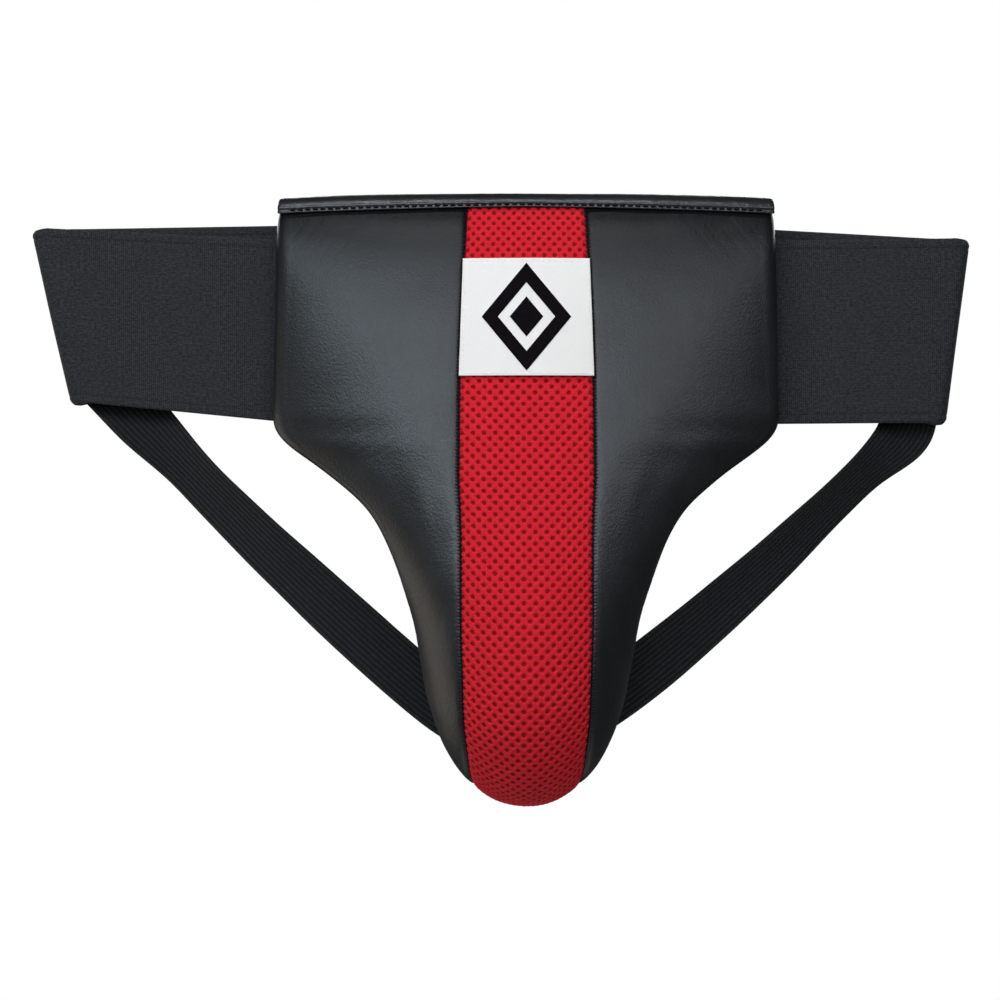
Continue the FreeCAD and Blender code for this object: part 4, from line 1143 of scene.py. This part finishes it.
def make_strap(side, name, fold, end, stations):
    """A ribbed elastic leg strap in one length, from the rear band to the guard's tail."""
    fold_x = abs(fold["top"][0])
    outer_face = BAND_FRONT + 2 * FOLD_RADIUS + BAND_THICK
    slope = (REAR_BOW + BAND_THICK - outer_face) / (fold_x - REAR_BEND)
    sewn = [(x, outer_face + slope * (fold_x - abs(x)) + GAP + STRAP_THICK / 2, z, 0) for x, z in end]
    places = np.linspace(0, len(sewn) + len(stations) - 1, STRAP_ROWS)
    values = smooth_line(sewn + stations)(places)
    line, turn = values[:, :3], np.radians(values[:, 3])[:, None]
    on = unit(np.gradient(line, axis=0))
    facing = np.zeros_like(line)
    facing[:, 1] = 1
    facing[:, 0] = side * slope * (1 - smooth_step(places, 1, 3))
    across = unit(np.cross(on, facing))
    across = across * np.cos(turn) + np.cross(on, across) * np.sin(turn)
    out = unit(np.cross(across, on))
    run = runs(line)[:, None]
    share = np.linspace(0, 1, RIB_COUNT * RIB_POINTS + 1)[None, :]
    offset = (share - 0.5) * STRAP_WIDTH
    rib = np.abs(np.sin(math.pi * share * RIB_COUNT)) ** 0.9
    rim = 0.55 + 0.45 * smooth_step(np.minimum(share, 1 - share), 0, 0.02)
    half = STRAP_THICK / 2 * (0.45 + 0.55 * rib) * rim
    free = smooth_step(np.minimum(run - 0.04, run[-1] - 0.06 - run), 0, 0.05)
    sway = (0.0005 * ripple(run, offset, 0.07, 71 + side) + 0.0006 * np.cos(math.pi * (share * 2 - 1))) * free
    middle = line[:, None] + across[:, None] * offset[..., None] + out[:, None] * sway[..., None]
    thick = out[:, None] * half[..., None]
    # the valley mark paints shade into the grooves between the ribs
    strap = slab("leg_strap_web_%s" % name, middle - thick, middle + thick, "strap", "leg_elastic",
                 lengths=np.stack(np.broadcast_arrays(run, offset), axis=-1), ride=False,
                 marks={"valley": np.broadcast_to(1 - rib, sway.shape)})
    body = "rear_%s" % name
    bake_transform(strap)
    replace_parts(strap, "leg_strap_%s" % name, "leg_strap_%s_end" % name)

    # sewn to the rear band by a box of stitches with a cross in it
    near, far, wide = 0.003, 0.019, 0.011
    box = [(near, -wide), (near, wide), (far, wide), (far, -wide)]
    corners = box + [box[0], box[2], box[1], box[3]]
    lines = []
    for first, second in zip(corners, corners[1:]):
        flat = np.linspace(first, second, 20)
        spine, sideways, lift = (at_runs(flat[:, 0], run[:, 0], rows) for rows in (line, across, out))
        on_top = spine + sideways * flat[:, 1:] + lift * (STRAP_THICK / 2)
        lines.append(stitch_line(on_top, lift, 0.003, 0.002))
    stitch_set("strap_thread_%s" % name, lines, 0.00034, body=body)


# ---- closure and sewn patches

def plate(name, box, front, thick, corners, relief, material, slot, body, flip_relief=False, counts=(70, 80)):
    """A flat sewn piece with rounded corners, left and right.  relief(x, z, inside) raises its back face, or
    its front one if flipped; inside is the distance in from the edge."""
    x_low, x_high, z_low, z_high = box
    columns, rows = counts
    ease = np.sin(np.linspace(-math.pi / 2, math.pi / 2, columns)) * 0.5 + 0.5
    x = x_low + (x_high - x_low) * (0.6 * ease + 0.4 * np.linspace(0, 1, columns))
    half = (z_high - z_low) / 2
    for from_end, corner in zip((x - x_low, x_high - x), corners):
        back = np.clip(corner - from_end, 0, corner)
        half = half - corner + np.sqrt(np.maximum(corner ** 2 - back ** 2, 0))
    v = np.linspace(-1, 1, rows)[:, None]
    z = (z_high + z_low) / 2 + np.sign(v) * np.abs(v) ** 0.85 * half
    x = np.broadcast_to(x, z.shape)
    inside = np.minimum(np.minimum(x - x_low, x_high - x), half - np.abs(z - (z_high + z_low) / 2))
    middle = front + thick / 2
    raised = relief(x, z, inside)
    edge = thick / 2 * (0.45 + 0.55 * smooth_step(inside, 0, 0.0009))
    outer = np.stack([x, middle - edge - (raised if flip_relief else 0), z], axis=-1)
    inner = np.stack([x, middle + edge + (0 if flip_relief else raised), z], axis=-1)
    return slab(name, outer, inner, material, slot, lengths=np.stack([x - x_low, z - z_low], axis=-1),
                body=body, marks={"selvage": bell(inside, 0.004, 0.0006)})


def thread_path(name, paths, y, up, body, pitch=0.0034, length=0.0023, radius=0.00036, sink=0.0004):
    """Stitches along straight lines in a plane that faces front or back; a path is a list of corners."""
    lines = []
    for path in paths:
        for (x, z), (next_x, next_z) in zip(path, path[1:]):
            ends = np.array([(x, y, z), (next_x, y, next_z)])
            lines.append(stitch_line(ends, np.array([(0, up, 0)] * 2), pitch, length))
    stitch_set(name, lines, radius, sink, body)


HOOK_THICK = 0.0012
LOOP_THICK = 0.0014
PATCH_HALF = 0.034
PATCH_INSET = 0.009
PATCH_HEM = 0.0015
ANCHOR_FRONT = 0.0634
ANCHOR_THICK = 0.0015
ANCHOR_BOX = (-0.022, 0.022, -0.247, -0.217)


def rectangle(half, low, high):
    return [(-half, low), (half, low), (half, high), (-half, high), (-half, low)]


def make_closure():
    """The closure tab with its hook patch, and the loop patch on the band's other end."""
    tab_front, loop_front = RIGHT_FOLD["flat"], LEFT_FOLD["flat"] + BAND_THICK
    box = (-OVERLAP_HALF, OVERLAP_HALF, REAR_LOW, REAR_TOP)

    def tab_relief(x, z, inside):
        hem = 0.00035 * smooth_step(0.009 - inside, 0, 0.0015)
        return hem - 0.0003 * bell(inside, 0.0075, 0.0008) + 0.0002 * ripple(x, z, 0.05, 81)

    tab = plate("closure_tab_elastic", box, tab_front, BAND_THICK, (0.009, 0.0005), tab_relief, "band",
                "waist_elastic", "closure_tab")
    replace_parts(tab, "closure_tab")
    inset = PATCH_INSET + PATCH_HEM
    border = rectangle(PATCH_HALF - PATCH_HEM, REAR_LOW + inset, REAR_TOP - inset)
    back = tab_front + BAND_THICK + 0.0001
    thread_path("tab_thread", [border], back, 1, "closure_tab")
    for number, x in enumerate((0.0385, 0.0362)):
        path = [(x, REAR_LOW + 0.003), (x, REAR_TOP - 0.003)]
        thread_path("tab_joint_thread_%d" % (number + 1), [path], back, 1, "closure_tab")

    def hook_relief(x, z, inside):
        rows = np.abs(np.sin(math.pi * x / 0.0016)) * np.abs(np.sin(math.pi * z / 0.0018))
        return 0.00035 * rows * smooth_step(inside, 0.002, 0.0035) - 0.0002 * bell(inside, PATCH_HEM, 0.0006)

    def loop_relief(x, z, inside):
        pile = 0.00018 * ripple(x, z, 0.004, 82) * smooth_step(inside, 0.0015, 0.004)
        return pile - 0.0002 * bell(inside, PATCH_HEM, 0.0006)

    box = (-PATCH_HALF, PATCH_HALF, REAR_LOW + PATCH_INSET, REAR_TOP - PATCH_INSET)
    hook = plate("hook_patch_tape", box, tab_front - HOOK_THICK, HOOK_THICK, (0.003, 0.003), hook_relief,
                 "hooks", "hook_and_loop", "closure_tab", flip_relief=True, counts=(150, 150))
    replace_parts(hook, "hook_patch")
    loop = plate("loop_patch_tape", box, loop_front, LOOP_THICK, (0.003, 0.003), loop_relief, "loops",
                 "hook_and_loop", "rear_left", counts=(110, 110))
    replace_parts(loop, "loop_patch")
    thread_path("hook_thread", [border], tab_front - HOOK_THICK - 0.00005, -1, "closure_tab", sink=0.0003)
    thread_path("loop_thread", [border], loop_front + LOOP_THICK + 0.00005, 1, "rear_left", sink=0.0003)


def make_anchor():
    """The leather patch that holds both leg straps to the guard's tail, with its crossed stitching."""

    def relief(x, z, inside):
        pillow = 0.0006 * smooth_step(inside, 0, 0.006)
        return pillow - 0.0005 * bell(inside, 0.0032, 0.0010) + 0.00015 * ripple(x, z, 0.02, 91)

    patch = plate("tail_anchor_leather", ANCHOR_BOX, ANCHOR_FRONT, ANCHOR_THICK, (0.004, 0.004), relief,
                  "leather", "panel_leather", "root", counts=(60, 50))
    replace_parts(patch, "tail_anchor_patch")
    border = rectangle(0.0188, -0.2438, -0.2202)
    paths = {"anchor_thread": border + border[2:3], "anchor_cross_thread": [border[3], border[1]]}
    for name, path in paths.items():
        thread_path(name, [path], ANCHOR_FRONT + ANCHOR_THICK + 0.0003, 1, "root", pitch=0.003, length=0.002)


def finish_hidden_parts():
    """Materials of the pieces inside the guard that keep their designed shape."""
    for node, material in (("left_foam_wing", "foam"), ("right_foam_wing", "foam"),
                           ("centre_foam_pad", "foam"), ("cup_shell", "cup"), ("cup_rim_cushion", "rim")):
        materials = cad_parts[node].data.materials
        materials.clear()
        materials.append(MATERIALS[material])


set_stage()
MATERIALS = make_materials()
for side, name, fold, end, stations in ((-1, "left", LEFT_FOLD, LEFT_STRAP_END, LEFT_STRAP),
                                        (1, "right", RIGHT_FOLD, RIGHT_STRAP_END, RIGHT_STRAP)):
    make_seam(side, name, *make_wing(side, name))
    make_band(side, name, fold)
    make_strap(side, name, fold, end, stations)
make_centre()
make_lining()
make_binding()
make_label()
make_closure()
make_anchor()
finish_hidden_parts()
